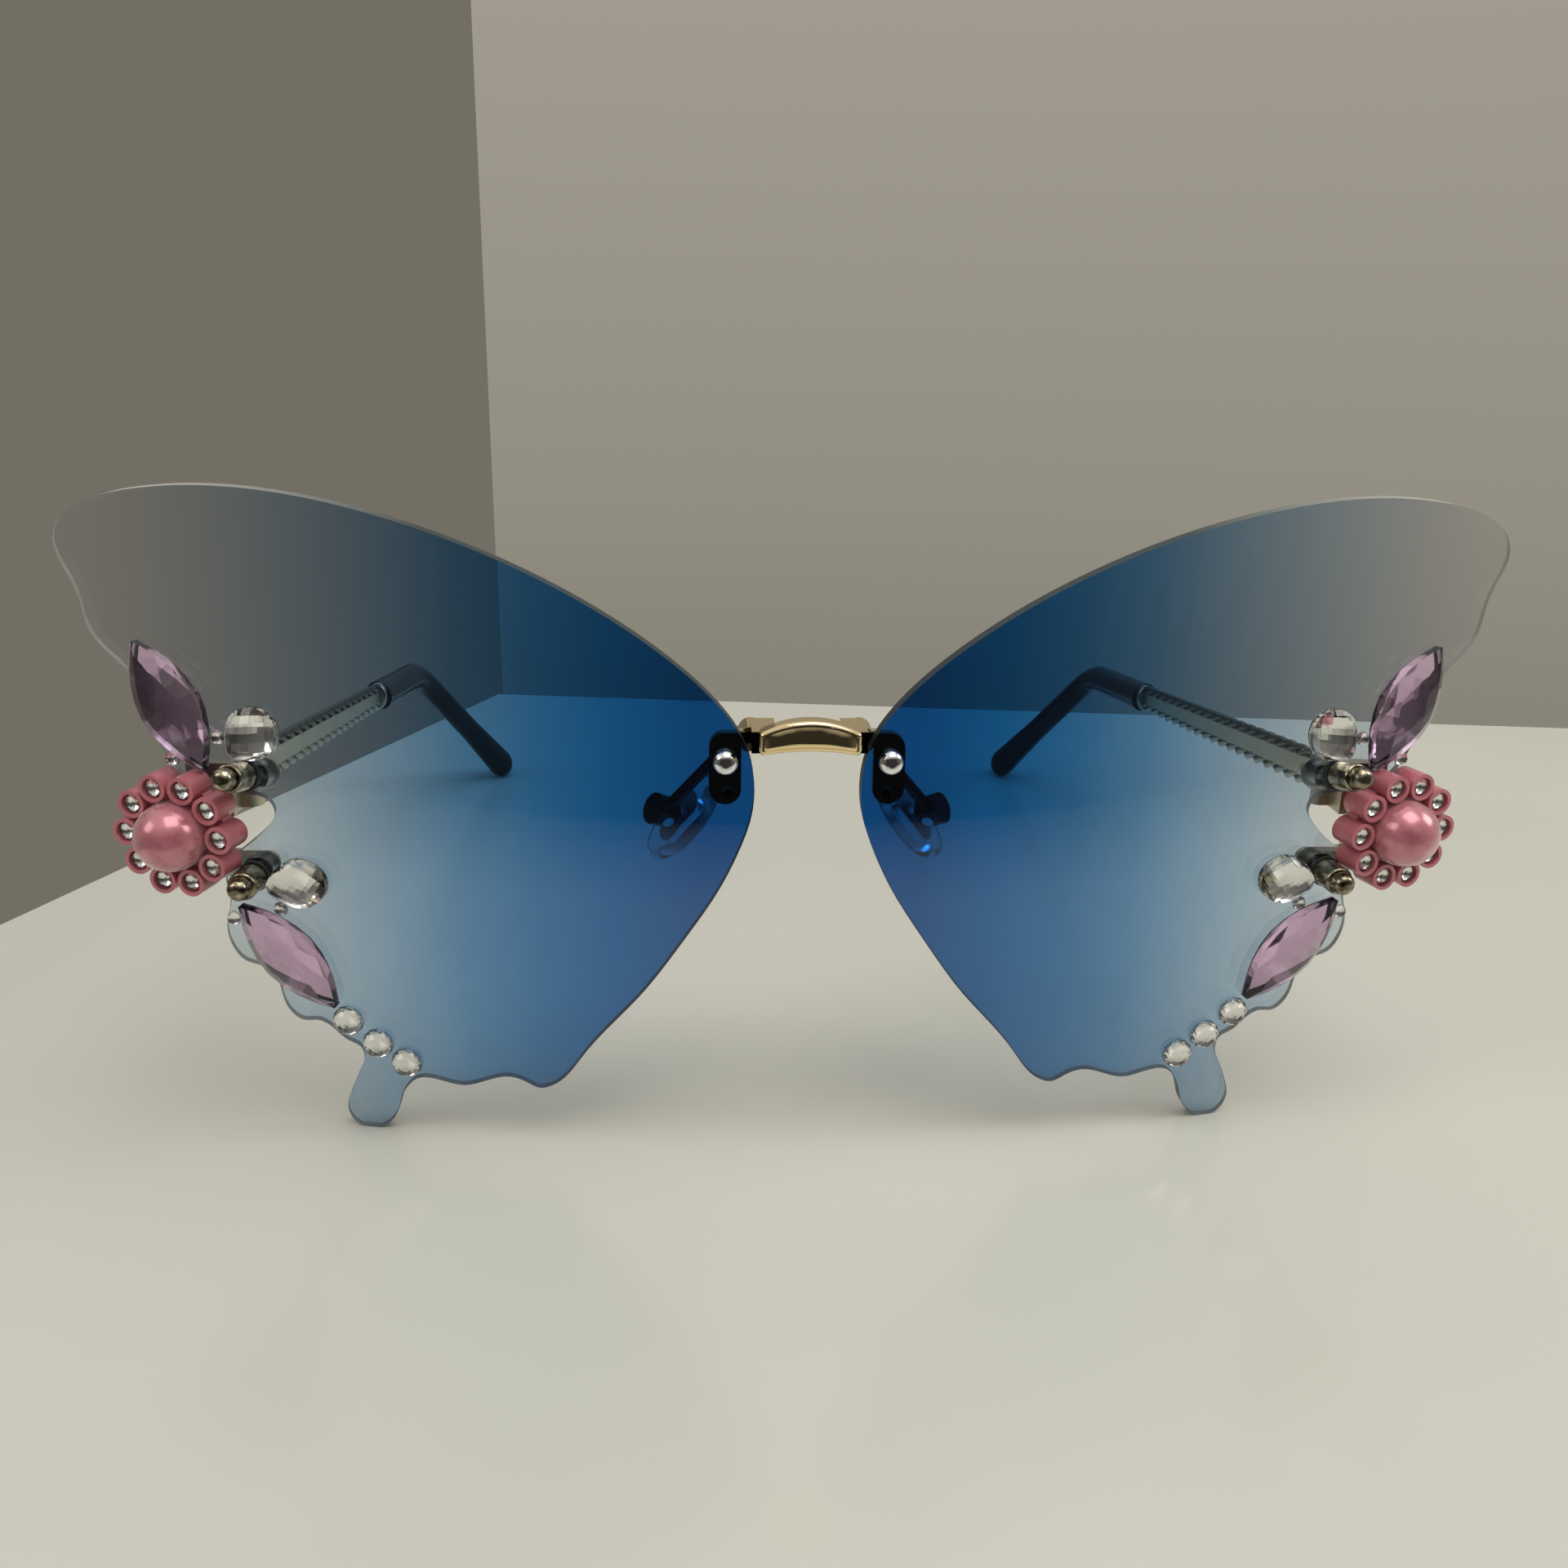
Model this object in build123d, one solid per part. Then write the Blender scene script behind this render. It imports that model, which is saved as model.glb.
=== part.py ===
from build123d import *
import os
from math import cos, hypot, pi, sin, sqrt, tan

# Butterfly sunglasses. X runs across the face, Y from front to back, Z up.
# One side is modelled, the wearer's left one (+X), and the other is its mirror image.

# Lenses: both are cut from one wide dome
half_span = 78.0
lens_height = 71.8
lens_thickness = 1.8
dome_radius = 245.0

# Clearances
seat_gap = 0.02
turning_gap = 0.06
glue_line = 0.03
overrun = 40.0

# Bridge bar and its two tabs behind the lenses. Insets, rises and drops are from the lens screws.
bridge_inset = 3.3
bridge_rise = 1.3
bridge_depth = 2.4
bridge_stand_off = 0.2
bridge_end_width = 2.35
bridge_mid_width = 3.15
bridge_arch = 0.5
bridge_round = 0.5
neck_clearance = 0.3
neck_run = 2.45
neck_rise = 1.35
neck_width = 2.25
tab_width = 3.3
tab_length = 7.5
tab_drop = 5.0
tab_thickness = 1.6
pin_radius = 0.5
pin_inset = 0.3
pin_drop = 3.5
pin_proud = 0.1
knob_inset = 2.7
knob_rise = 1.55
knob_radius = 1.3
knob_length = 3.8
knob_round = 0.9

# Screws that hold the lenses on the bridge
screw_head_radius = 1.3
screw_head_depth = 1.05
screw_head_round = 0.95
screw_radius = 0.7
screw_proud = 0.3
bush_flange = 0.3
bush_wall = 0.3
nut_radius = 1.5
nut_depth = 1.2

# Nose pads. The box lies outwards, back and down from the lens screw.
arm_radius = 0.65
arm_bend = 2.0
arm_grip = 2.4
arm_run = 1.6
box_outset = 6.6
box_reach = 10.3
box_drop = 10.0
box_radius = 1.8
box_rear = 1.5
box_front = 1.1
box_floor = 0.7
box_bore = 1.35
pad_length = 12.5
pad_width = 6.0
pad_thickness = 2.4
pad_round = 1.1
pad_stand = 0.65
tongue_width = 1.6
tongue_thickness = 1.1
tongue_back = 0.55
insert_length = 7.0
insert_width = 2.8
insert_thickness = 0.7
insert_depth = 0.7
pad_screw_radius = 0.35
pad_screw_head = 0.65
pad_screw_sunk = 0.4

# End pieces. Their two posts hold the outer ends of the lenses; insets, rise and drop are from
# the flower's centre. A post turns outwards and lifts upwards by its angles, in degrees.
upper_post_inset = 6.9
upper_post_rise = 6.2
upper_post_turn = 14
upper_post_lift = 11
lower_post_inset = 6.7
lower_post_drop = 5.05
lower_post_turn = 6
lower_post_lift = 1
plate_clearance = 0.05
plate_thickness = 1.5
plate_arm_width = 2.4
spine_inset = 2.8
spine_width = 3.0
stud_radius = 0.75
stud_reach = 3.2
cap_radius = 1.55
cap_body_length = 3.1
cap_body_round = 0.3
cap_dome_radius = 1.2
cap_dome_length = 1.6
cap_dome_round = 0.9
washer_radius = 1.7
washer_lip = 0.35
sleeve_wall = 0.3
flange_radius = 1.75
boss_radius = 2.5
boss_pin_radius = 0.9
boss_pin_length = 1.6

# Hinges. The pivot lies inside and above the flower's centre and behind the plate.
pivot_inset = 4.3
pivot_reach = 3.7
hinge_rise = 2.7
barrel_radius = 1.4
barrel_height = 5.4
knuckle_share = 0.41
knuckle_gap = 0.03
web_inset = 0.2
lug_gap = 0.6
lug_width = 3.5
hinge_pin_radius = 0.55
hinge_head_radius = 1.1
hinge_head_height = 0.45
leaf_thickness = 0.9
leaf_length = 8.0
leaf_width = 1.7

# Temples: a flat bar between two rope edges, then a sleeve over its core wire. The bend and
# the tip are placed from the pivot and from the temple's front end.
temple_outset = 2.1
temple_butt_gap = 0.15
bar_thickness = 1.0
rope_radius = 0.6
temple_width_front = 4.4
temple_width_back = 3.6
ferrule_run = 70.0
ferrule_length = 1.6
ferrule_width = 4.3
ferrule_thickness = 3.0
ferrule_round = 0.4
core_radius = 0.55
core_short = 8.0
bend_inset = 1.6
bend_reach = 100.15
bend_drop = 12.7
tip_inset = 13.2
tip_reach = 123.55
tip_height = 0.9
bend_radius = 12.0
sleeve_width = 4.6
sleeve_thickness = 3.8
tip_width = 6.0
tip_thickness = 4.8
tip_flare = 16.0
tip_cap = 2.6

# Flowers of ten cups round a pearl, standing square to the lens in front of its notch
cup_count = 10
cup_ring_radius = 5.35
cup_radius = 1.5
cup_wall = 0.4
cup_mouth_depth = 1.1
flower_stand = 0.3
flower_depth = 3.3
hub_depth = 1.6
pearl_radius = 3.7
pearl_lift = 0.1
pearl_rim = 1.2

# Stones
marquise_length = 15.0
marquise_upper_width = 7.0
marquise_lower_width = 6.5
marquise_depth = 2.6
teardrop_upper_length = 6.6
teardrop_upper_width = 5.7
teardrop_lower_length = 7.0
teardrop_lower_width = 5.6
teardrop_depth = 1.9
round_width = 3.5
round_depth = 1.5
seed_width = 1.6
seed_depth = 0.8
cup_stone_width = 2.15
cup_stone_depth = 0.95

# Lens outline, as shares of the half span and of the lens height, from the foot
# round the inner edge, over the top, down the outer edge and back along the tail.
tail_shares = [
    (0.608, 0.000), (0.592, 0.013), (0.579, 0.036), (0.571, 0.064), (0.560, 0.086),
    (0.544, 0.102), (0.523, 0.104), (0.479, 0.095), (0.446, 0.106), (0.410, 0.116),
    (0.386, 0.107), (0.368, 0.098)]
inner_shares = [
    (0.356, 0.101), (0.304, 0.163), (0.221, 0.273), (0.164, 0.362), (0.117, 0.443),
    (0.088, 0.510), (0.072, 0.568)]
top_shares = [
    (0.070, 0.599), (0.079, 0.655), (0.115, 0.717), (0.187, 0.788), (0.337, 0.886),
    (0.532, 0.964), (0.737, 1.000), (0.878, 0.992), (0.967, 0.962), (0.995, 0.935),
    (1.000, 0.908)]
outer_shares = [
    (0.982, 0.866), (0.968, 0.830), (0.960, 0.794), (0.936, 0.760), (0.909, 0.734),
    (0.891, 0.696), (0.876, 0.648), (0.858, 0.602), (0.828, 0.571), (0.785, 0.561)]
notch_shares = [
    (0.744, 0.561), (0.719, 0.552), (0.713, 0.536), (0.723, 0.515), (0.751, 0.485),
    (0.782, 0.454)]
lobe_shares = [
    (0.794, 0.422), (0.791, 0.390), (0.800, 0.351), (0.797, 0.312), (0.779, 0.287),
    (0.756, 0.281), (0.737, 0.263), (0.731, 0.233), (0.723, 0.208), (0.704, 0.192),
    (0.682, 0.194), (0.659, 0.180), (0.642, 0.163), (0.624, 0.152), (0.620, 0.134),
    (0.631, 0.103), (0.647, 0.064), (0.654, 0.036), (0.649, 0.013), (0.636, 0.000)]
outline_shares = tail_shares + inner_shares + top_shares + outer_shares + notch_shares + lobe_shares

# Places in the front view, in the same shares
screw_share = (0.108, 0.641)
neck_edge_share = top_shares[1]
flower_share = (0.836, 0.504)

# Places of the stones round the flower's centre, as shares of the flower's radius.
# A teardrop has its centre, then a point that its tip looks towards.
marquise_upper_shares = [(0.615, 2.892), (-0.444, 0.964)]
marquise_lower_shares = [(-2.175, -2.872), (-0.706, -1.237)]
teardrop_upper_shares = [(-1.154, 1.549), (-0.50, 0.87)]
teardrop_lower_shares = [(-1.673, -0.801), (-0.90, -0.971)]
round_shares = [(-2.277, -3.176), (-2.733, -3.563), (-3.176, -3.889)]
seed_shares = [(0.171, 1.081), (-0.614, 1.476), (-0.557, -1.509), (-1.354, -1.268)]

# Half outlines of the stones, as shares of half the length and half the width
marquise_shares = [(1, 0), (0.74, 0.45), (0.38, 0.85), (0, 1), (-0.38, 0.85), (-0.74, 0.45), (-1, 0)]
teardrop_shares = [(1, 0), (0.60, 0.50), (0.15, 0.90), (-0.30, 1), (-0.70, 0.80), (-0.94, 0.42), (-1, 0)]

# Cut of every stone, as shares of its outline (size) and of its depth (height)
girdle_share = 0.2
crown_shares = (0.80, 0.68)
table_share = 0.52

on_base = (Align.CENTER, Align.CENTER, Align.MIN)
dome_rise = lens_height / 2
lens_back_radius = dome_radius - lens_thickness
flower_front = flower_stand + flower_depth
flower_radius = cup_ring_radius + cup_radius


def place(share):
    """A point of the front view, from its shares of the half span and the lens height."""
    return share[0] * half_span, share[1] * lens_height


def near_flower(share):
    """A point of the front view, from its shares of the flower's radius round its centre."""
    return flower_x + share[0] * flower_radius, flower_z + share[1] * flower_radius


def dome(radius):
    """A ball about the centre of the lens dome."""
    return Pos(0, dome_radius, dome_rise) * Sphere(radius)


def dome_y(x, z, radius):
    """How far back a ball about the dome's centre starts, at a point of the front view."""
    return dome_radius - sqrt(radius**2 - x**2 - (z - dome_rise) ** 2)


def facing(x, y, z):
    """A plane that looks forward; its own X and Y are the part's X and Z."""
    return Plane(origin=(x, y, z), x_dir=(1, 0, 0), z_dir=(0, -1, 0))


def peg(x, z, radius, front, back):
    """A round bar along Y between two depths."""
    return facing(x, back, z) * Cylinder(radius, back - front, align=on_base)


def domed_peg(x, z, radius, front, back, rounding):
    """A round bar along Y with its front rim rounded."""
    body = peg(x, z, radius, front, back)
    return fillet(body.edges().sort_by(Axis.Y)[0], rounding)


def block(x_from, x_to, y_from, y_to, z_from, z_to):
    """A box between two corners."""
    size = (x_to - x_from, y_to - y_from, z_to - z_from)
    return Pos(x_from, y_from, z_from) * Box(*size, align=(Align.MIN, Align.MIN, Align.MIN))


def post(x, y, low, high, radius):
    """An upright round bar."""
    return Pos(x, y, low) * Cylinder(radius, high - low, align=on_base)


def other_side(shape):
    """The same piece on the wearer's right."""
    return mirror(shape, about=Plane.YZ)


def on_front(x, z, outward):
    """A plane on the lens front that looks along a direction; its own X stays level."""
    level = (-outward.Y, outward.X, 0)
    return Plane(origin=(x, dome_y(x, z, dome_radius), z), x_dir=level, z_dir=outward)


def lens_normal(x, z):
    """The way the lens front looks at a point of the front view."""
    return Vector(x, dome_y(x, z, dome_radius) - dome_radius, z - dome_rise).normalized()


def leaning(turn, lift):
    """A direction that looks forward, turned outwards and lifted upwards, in degrees."""
    turn, lift = turn * pi / 180, lift * pi / 180
    return Vector(sin(turn) * cos(lift), -cos(turn) * cos(lift), sin(lift))


def rod(plane, radius, back, front):
    """A round bar along a plane's own Z, between two distances from the plane."""
    return plane * Pos(0, 0, back) * Cylinder(radius, front - back, align=on_base)


# Holes through the lens, named once for the lens and for what goes through it
screw_x, screw_z = place(screw_share)
pin_x = screw_x - pin_inset
pin_height = screw_z - pin_drop
screw_hole = screw_radius + bush_wall + seat_gap
post_hole = stud_radius + sleeve_wall + seat_gap
screw_reach = screw_head_radius * hypot(screw_x, screw_z - dome_rise) / dome_radius
screw_seat = dome_y(screw_x, screw_z, dome_radius) - screw_reach - bush_flange
tab_front = dome_y(screw_x, screw_z, lens_back_radius)
tab_back = tab_front + tab_thickness

# The knob on the tab that holds the nose pad's wire
knob_across = screw_x - knob_inset
knob_height = screw_z + knob_rise
knob_back = tab_back + knob_length

# The flower's centre, the two posts beside it and the plate behind them
flower_x, flower_z = place(flower_share)
flower_plane = on_front(flower_x, flower_z, lens_normal(flower_x, flower_z))
upper_post = on_front(flower_x - upper_post_inset, flower_z + upper_post_rise,
                      leaning(upper_post_turn, upper_post_lift))
lower_post = on_front(flower_x - lower_post_inset, flower_z - lower_post_drop,
                      leaning(lower_post_turn, lower_post_lift))
post_planes = (upper_post, lower_post)
spine_inner = flower_x - spine_inset
spine_outer = spine_inner + spine_width
plate_front = dome_y(spine_outer, flower_z, lens_back_radius) + plate_clearance
plate_back = plate_front + plate_thickness
pivot_across = flower_x - pivot_inset
pivot_back = plate_back + pivot_reach
hinge_height = flower_z + hinge_rise


def lens():
    """One lens: the butterfly outline cut from the dome's shell, with its holes."""
    points = [place(share) for share in outline_shares]
    rim = Spline(*points) + Line(points[-1], points[0])
    blank = extrude(facing(0, overrun, 0) * make_face(rim), amount=2 * overrun)
    body = (blank & dome(dome_radius)) - dome(lens_back_radius)
    body -= peg(screw_x, screw_z, screw_hole + seat_gap, -overrun, overrun)
    body -= peg(pin_x, pin_height, pin_radius + seat_gap, -overrun, overrun)
    for plane in post_planes:
        body -= rod(plane, post_hole + seat_gap, -overrun, overrun)
    return body


def bridge_bar():
    """The arched bar over the nose, in front of the lenses."""
    bridge_half = screw_x - bridge_inset
    bridge_low = screw_z + bridge_rise
    end_top = bridge_low + bridge_end_width
    mid_low = bridge_low + bridge_arch
    low = ThreePointArc((-bridge_half, bridge_low), (0, mid_low), (bridge_half, bridge_low))
    high = ThreePointArc((bridge_half, end_top), (0, mid_low + bridge_mid_width), (-bridge_half, end_top))
    sides = Line(low @ 1, high @ 0) + Line(high @ 1, low @ 0)
    bar = extrude(facing(0, -bridge_stand_off, 0) * make_face(low + high + sides), amount=bridge_depth)
    return fillet(bar.edges(), bridge_round)


def bridge_side():
    """One side of the bridge: neck, tab behind the lens, locating pin and pad-arm knob."""
    neck_outer = place(neck_edge_share)[0] - neck_clearance
    neck_inner = neck_outer - neck_run
    neck_low = screw_z + neck_rise
    tab_low = screw_z - tab_drop
    neck = block(neck_inner, neck_outer, -bridge_stand_off - bridge_depth / 2, tab_back,
                 neck_low, neck_low + neck_width)
    slot = Rot(0, 0, 90) * SlotOverall(tab_length, tab_width)
    tab = extrude(facing(screw_x, tab_back, tab_low + tab_length / 2) * slot, amount=tab_thickness * 2)
    tab += block(neck_inner, screw_x, 0, tab_back, neck_low, tab_low + tab_length)
    tab &= dome(lens_back_radius - seat_gap)
    tab -= peg(screw_x, screw_z, screw_hole, -overrun, overrun)
    knob = peg(knob_across, knob_height, knob_radius, tab_back - tab_thickness / 2, knob_back)
    knob = fillet(knob.edges().sort_by(Axis.Y)[-1], knob_round)
    knob -= peg(knob_across, knob_height, arm_radius + seat_gap, knob_back - arm_grip, overrun)
    pin_front = dome_y(pin_x, pin_height, dome_radius) - pin_proud
    pin = peg(pin_x, pin_height, pin_radius, pin_front, tab_back)
    return neck + tab + knob + pin


def bridge():
    """The whole bridge, one casting."""
    side = bridge_side()
    return bridge_bar() + side + other_side(side)


def bridge_bush():
    """A clear bush: a flange under the screw head and a sleeve through lens and tab."""
    flange = peg(screw_x, screw_z, screw_head_radius, screw_seat, tab_front)
    flange -= dome(dome_radius + seat_gap)
    body = flange + peg(screw_x, screw_z, screw_hole - seat_gap, screw_seat, tab_back)
    return body - peg(screw_x, screw_z, screw_radius + seat_gap, -overrun, overrun)


def bridge_screw():
    """A domed screw from the front, with its shank through to the nut."""
    head_front = screw_seat - seat_gap - screw_head_depth
    head = domed_peg(screw_x, screw_z, screw_head_radius, head_front, screw_seat - seat_gap, screw_head_round)
    return head + peg(screw_x, screw_z, screw_radius, head_front + screw_head_depth / 2,
                      tab_back + nut_depth + screw_proud)


def bridge_nut():
    """A six-sided nut behind the tab."""
    back = tab_back + seat_gap + nut_depth
    body = extrude(facing(screw_x, back, screw_z) * RegularPolygon(nut_radius, 6), amount=nut_depth)
    return body - peg(screw_x, screw_z, screw_radius + seat_gap, -overrun, overrun)


# The pad's own directions: along the pad, and out of its face towards the nose
pad_along = Vector(0.58, 0.20, -0.79).normalized()
pad_out = Vector(-0.75, 0.50, -0.424).normalized()
box_point = Vector(screw_x + box_outset, tab_back + box_reach, screw_z - box_drop)
pad_plane = Plane(origin=box_point, x_dir=pad_along, z_dir=pad_out)
pad_rear = box_front + pad_stand


def pad_box_blank():
    """The outside of the box that holds the pad."""
    size = box_rear + box_front
    return pad_plane * Pos(0, 0, -box_rear) * Cylinder(box_radius, size, align=on_base)


def cross_pin(radius, reach_from, reach_to):
    """A round bar along the pad screw's axis."""
    across = Plane(origin=(0, reach_from, 0), x_dir=(1, 0, 0), z_dir=(0, 1, 0))
    return pad_plane * across * Cylinder(radius, reach_to - reach_from, align=on_base)


def pad_box():
    """The box: open towards the pad, with the screw hole across it."""
    body = pad_box_blank()
    floor = -box_rear + box_floor
    body -= pad_plane * Pos(0, 0, floor) * Cylinder(box_bore, overrun, align=on_base)
    body -= cross_pin(pad_screw_radius + seat_gap, -box_radius, box_radius)
    return body - cross_pin(pad_screw_head + seat_gap, box_radius - pad_screw_sunk, overrun)


def pad_screw():
    """The screw that the pad rocks on, its head sunk in the side of the box."""
    head_seat = box_radius - pad_screw_sunk + seat_gap
    head = cross_pin(pad_screw_head, head_seat, box_radius)
    return head + cross_pin(pad_screw_radius, -box_radius + pad_screw_sunk / 2, box_radius)


def pad_insert():
    """The core of the pad: a tongue in the box and a plate inside the pad."""
    plate_low = pad_rear + insert_depth
    tongue = Box(tongue_width, tongue_thickness, plate_low + tongue_back, align=on_base)
    plate = extrude(SlotOverall(insert_length, insert_width), amount=insert_thickness)
    body = pad_plane * (Pos(0, 0, -tongue_back) * tongue + Pos(0, 0, plate_low) * plate)
    return body - cross_pin(pad_screw_radius + turning_gap, -overrun, overrun)


def nose_pad():
    """The soft pad, with a pocket for its core."""
    body = Pos(0, 0, pad_rear) * extrude(Ellipse(pad_length / 2, pad_width / 2), amount=pad_thickness)
    body = fillet(body.edges(), pad_round)
    plate_low = pad_rear + insert_depth
    pocket_size = (insert_length + 2 * seat_gap, insert_width + 2 * seat_gap)
    pocket = extrude(SlotOverall(*pocket_size), amount=insert_thickness + 2 * seat_gap)
    body -= Pos(0, 0, plate_low - seat_gap) * pocket
    body -= Box(tongue_width + 2 * seat_gap, tongue_thickness + 2 * seat_gap, plate_low, align=on_base)
    return pad_plane * body


def pad_arm():
    """The bent wire from the knob on the bridge to the side of the pad box."""
    start = (knob_across, knob_back - arm_grip + seat_gap, knob_height)
    corner = (knob_across, knob_back + arm_run, knob_height)
    path = FilletPolyline(start, corner, box_point, radius=arm_bend)
    wire = sweep(facing(*start) * Circle(arm_radius), path=path)
    keep_out = pad_plane * Pos(0, 0, -overrun / 2) * Cylinder(box_radius + seat_gap, overrun, align=on_base)
    return wire - keep_out


def end_piece():
    """The plate behind the lens: two arms with studs, the flower's boss and the hinge lug."""
    half = plate_arm_width / 2
    upper, lower = [plane.from_local_coords(Vector(0, 0, -plate_depth(plane))) for plane in post_planes]
    body = block(spine_inner, spine_outer, plate_front, plate_back, lower.Z - half, upper.Z + half)
    for root in (upper, lower):
        body += block(root.X, spine_outer, plate_front, plate_back, root.Z - half, root.Z + half)
        body += peg(root.X, root.Z, half, plate_front, plate_back)
    body &= dome(lens_back_radius - seat_gap)
    for plane in post_planes:
        body += rod(plane, stud_radius, -plate_depth(plane), stud_front(plane))
    body += rod(flower_plane, boss_radius, -plate_depth(flower_plane), flower_stand - seat_gap)
    body += rod(flower_plane, boss_pin_radius, 0, flower_stand + boss_pin_length)
    low = hinge_height - barrel_height / 2
    high = hinge_height + barrel_height / 2
    lug_inner = pivot_across + lug_gap
    lug_outer = lug_inner + lug_width
    lug = block(lug_inner, lug_outer, plate_back - plate_thickness / 2, pivot_back, low, high)
    lug += block(pivot_across - web_inset, lug_outer, pivot_back - barrel_radius, pivot_back, low, high)
    lug += post(pivot_across, pivot_back, low, high, barrel_radius)
    half_band = barrel_height * knuckle_share / 2 + knuckle_gap
    lug -= post(pivot_across, pivot_back, hinge_height - half_band, hinge_height + half_band,
                barrel_radius + turning_gap)
    lug -= post(pivot_across, pivot_back, low, high, hinge_pin_radius + seat_gap)
    return body + lug


def plate_depth(plane):
    """How far behind a plane on the lens, along its own Z, the middle of the plate lies."""
    return (plate_front + plate_thickness / 2 - plane.origin.Y) / -plane.z_dir.Y


def washer_front(plane):
    """Height above the lens of the face where a nut meets its washer."""
    normal = lens_normal(plane.origin.X, plane.origin.Z)
    return washer_lip + washer_radius * tan(normal.get_angle(plane.z_dir) * pi / 180)


def stud_front(plane):
    """Height above the lens of the stud's end, inside the nut."""
    return washer_front(plane) + stud_reach


def cap_nuts():
    """The two stepped and domed nuts on the studs, in front of the lens."""
    nuts = []
    for plane in post_planes:
        seat = washer_front(plane) + seat_gap
        shoulder = seat + cap_body_length
        along = Axis(plane.origin, plane.z_dir)
        body = rod(plane, cap_radius, seat, shoulder)
        body = fillet(body.edges().sort_by(along)[-1], cap_body_round)
        cap = rod(plane, cap_dome_radius, seat, shoulder + cap_dome_length)
        cap = fillet(cap.edges().sort_by(along)[-1], cap_dome_round)
        nuts.append(body + cap - rod(plane, stud_radius + seat_gap, -overrun, stud_front(plane) + seat_gap))
    return nuts


def end_washers():
    """Dark washers, wedge-shaped to fit the slope of the lens."""
    washers = []
    for plane in post_planes:
        ring = rod(plane, washer_radius, -lens_thickness, washer_front(plane)) - dome(dome_radius + seat_gap)
        washers.append(ring - rod(plane, stud_radius + seat_gap, -overrun, overrun))
    return washers


def end_bushes():
    """Clear bushes: a sleeve in the lens and a wedge between the lens and the plate."""
    bushes = []
    for plane in post_planes:
        wedge = rod(plane, flange_radius, -overrun, 0) & dome(lens_back_radius - seat_gap)
        body = wedge + rod(plane, stud_radius + sleeve_wall, -overrun, -sleeve_wall)
        body &= block(0, half_span, -overrun, plate_front - seat_gap, 0, lens_height)
        bushes.append(body - rod(plane, stud_radius + seat_gap, -overrun, overrun))
    return bushes


def hinge_screw():
    """The upright hinge screw."""
    low = hinge_height - barrel_height / 2
    high = hinge_height + barrel_height / 2 + seat_gap
    head = post(pivot_across, pivot_back, high, high + hinge_head_height, hinge_head_radius)
    return head + post(pivot_across, pivot_back, low, high, hinge_pin_radius)


# The straight run of the temple, seen along itself; its own X points outwards
temple_across = pivot_across + temple_outset
temple_start = Vector(temple_across, pivot_back, hinge_height)
bend_point = temple_start + Vector(-bend_inset, bend_reach, -bend_drop)
tip_point = Vector(temple_across - tip_inset, pivot_back + tip_reach, tip_height)
temple_along = (bend_point - temple_start).normalized()
tip_along = (tip_point - bend_point).normalized()
temple_outward = temple_along.cross(Vector(0, 0, 1)).normalized()
temple_plane = Plane(origin=temple_start, x_dir=temple_outward, z_dir=temple_along)


def behind_butt(shape):
    """What is left of a temple piece behind the face that meets the end piece."""
    face = pivot_back + temple_butt_gap
    return shape - block(0, 2 * half_span, -overrun, face, 0, lens_height)


def hinge_leaf():
    """The temple's half of the hinge: the middle knuckle and a plate on the bar."""
    half_band = barrel_height * knuckle_share / 2 - knuckle_gap
    low = hinge_height - half_band
    high = hinge_height + half_band
    plate_outer = bar_thickness / 2 + seat_gap
    plate = temple_plane * Pos(-plate_outer - leaf_thickness / 2, 0, 0) * Box(
        leaf_thickness, leaf_width, leaf_length, align=on_base)
    plate = behind_butt(plate)
    web_outer = temple_across - plate_outer - leaf_thickness / 2
    web = block(pivot_across - web_inset, web_outer, pivot_back, pivot_back + barrel_radius, low, high)
    body = post(pivot_across, pivot_back, low, high, barrel_radius) + web + plate
    return body - post(pivot_across, pivot_back, low, high, hinge_pin_radius + turning_gap)


def rope_line(side):
    """The ends of a rope's centre line, in the temple's own plane."""
    front = side * (temple_width_front / 2 - rope_radius)
    back = side * (temple_width_back / 2 - rope_radius)
    return Vector(0, front, 0), Vector(0, back, ferrule_run)


def rope(side, radius):
    """One rope edge, as a plain rod."""
    start, end = rope_line(side)
    along = end - start
    rod = Plane(origin=start - along * (temple_butt_gap / ferrule_run), z_dir=along) * Cylinder(
        radius, along.length, align=on_base)
    cut = Pos(0, 0, ferrule_run) * Box(overrun, overrun, overrun, align=on_base)
    return behind_butt(temple_plane * (rod - cut))


def temple_bar():
    """The flat of the temple between its ropes, with the core wire of the sleeve."""
    sections = []
    for run, width in ((0, temple_width_front), (ferrule_run, temple_width_back)):
        sections.append(Pos(0, 0, run) * Rectangle(bar_thickness, width - 2 * rope_radius))
    flat = behind_butt(temple_plane * loft(sections))
    flat = flat - rope(1, rope_radius + seat_gap) - rope(-1, rope_radius + seat_gap)
    return flat + sweep(core_section(core_radius), path=tip_path(-ferrule_length, core_short))


def ferrule():
    """The collar where the sleeve starts."""
    body = extrude(Ellipse(ferrule_thickness / 2, ferrule_width / 2), amount=ferrule_length)
    body = fillet(body.edges(), ferrule_round)
    body -= Cylinder(core_radius + seat_gap, overrun)
    return temple_plane * Pos(0, 0, ferrule_run + seat_gap) * body


def core_section(radius):
    """A round section where the core wire leaves the flat of the temple."""
    return temple_plane * Pos(0, 0, ferrule_run - ferrule_length) * Circle(radius)


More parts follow.
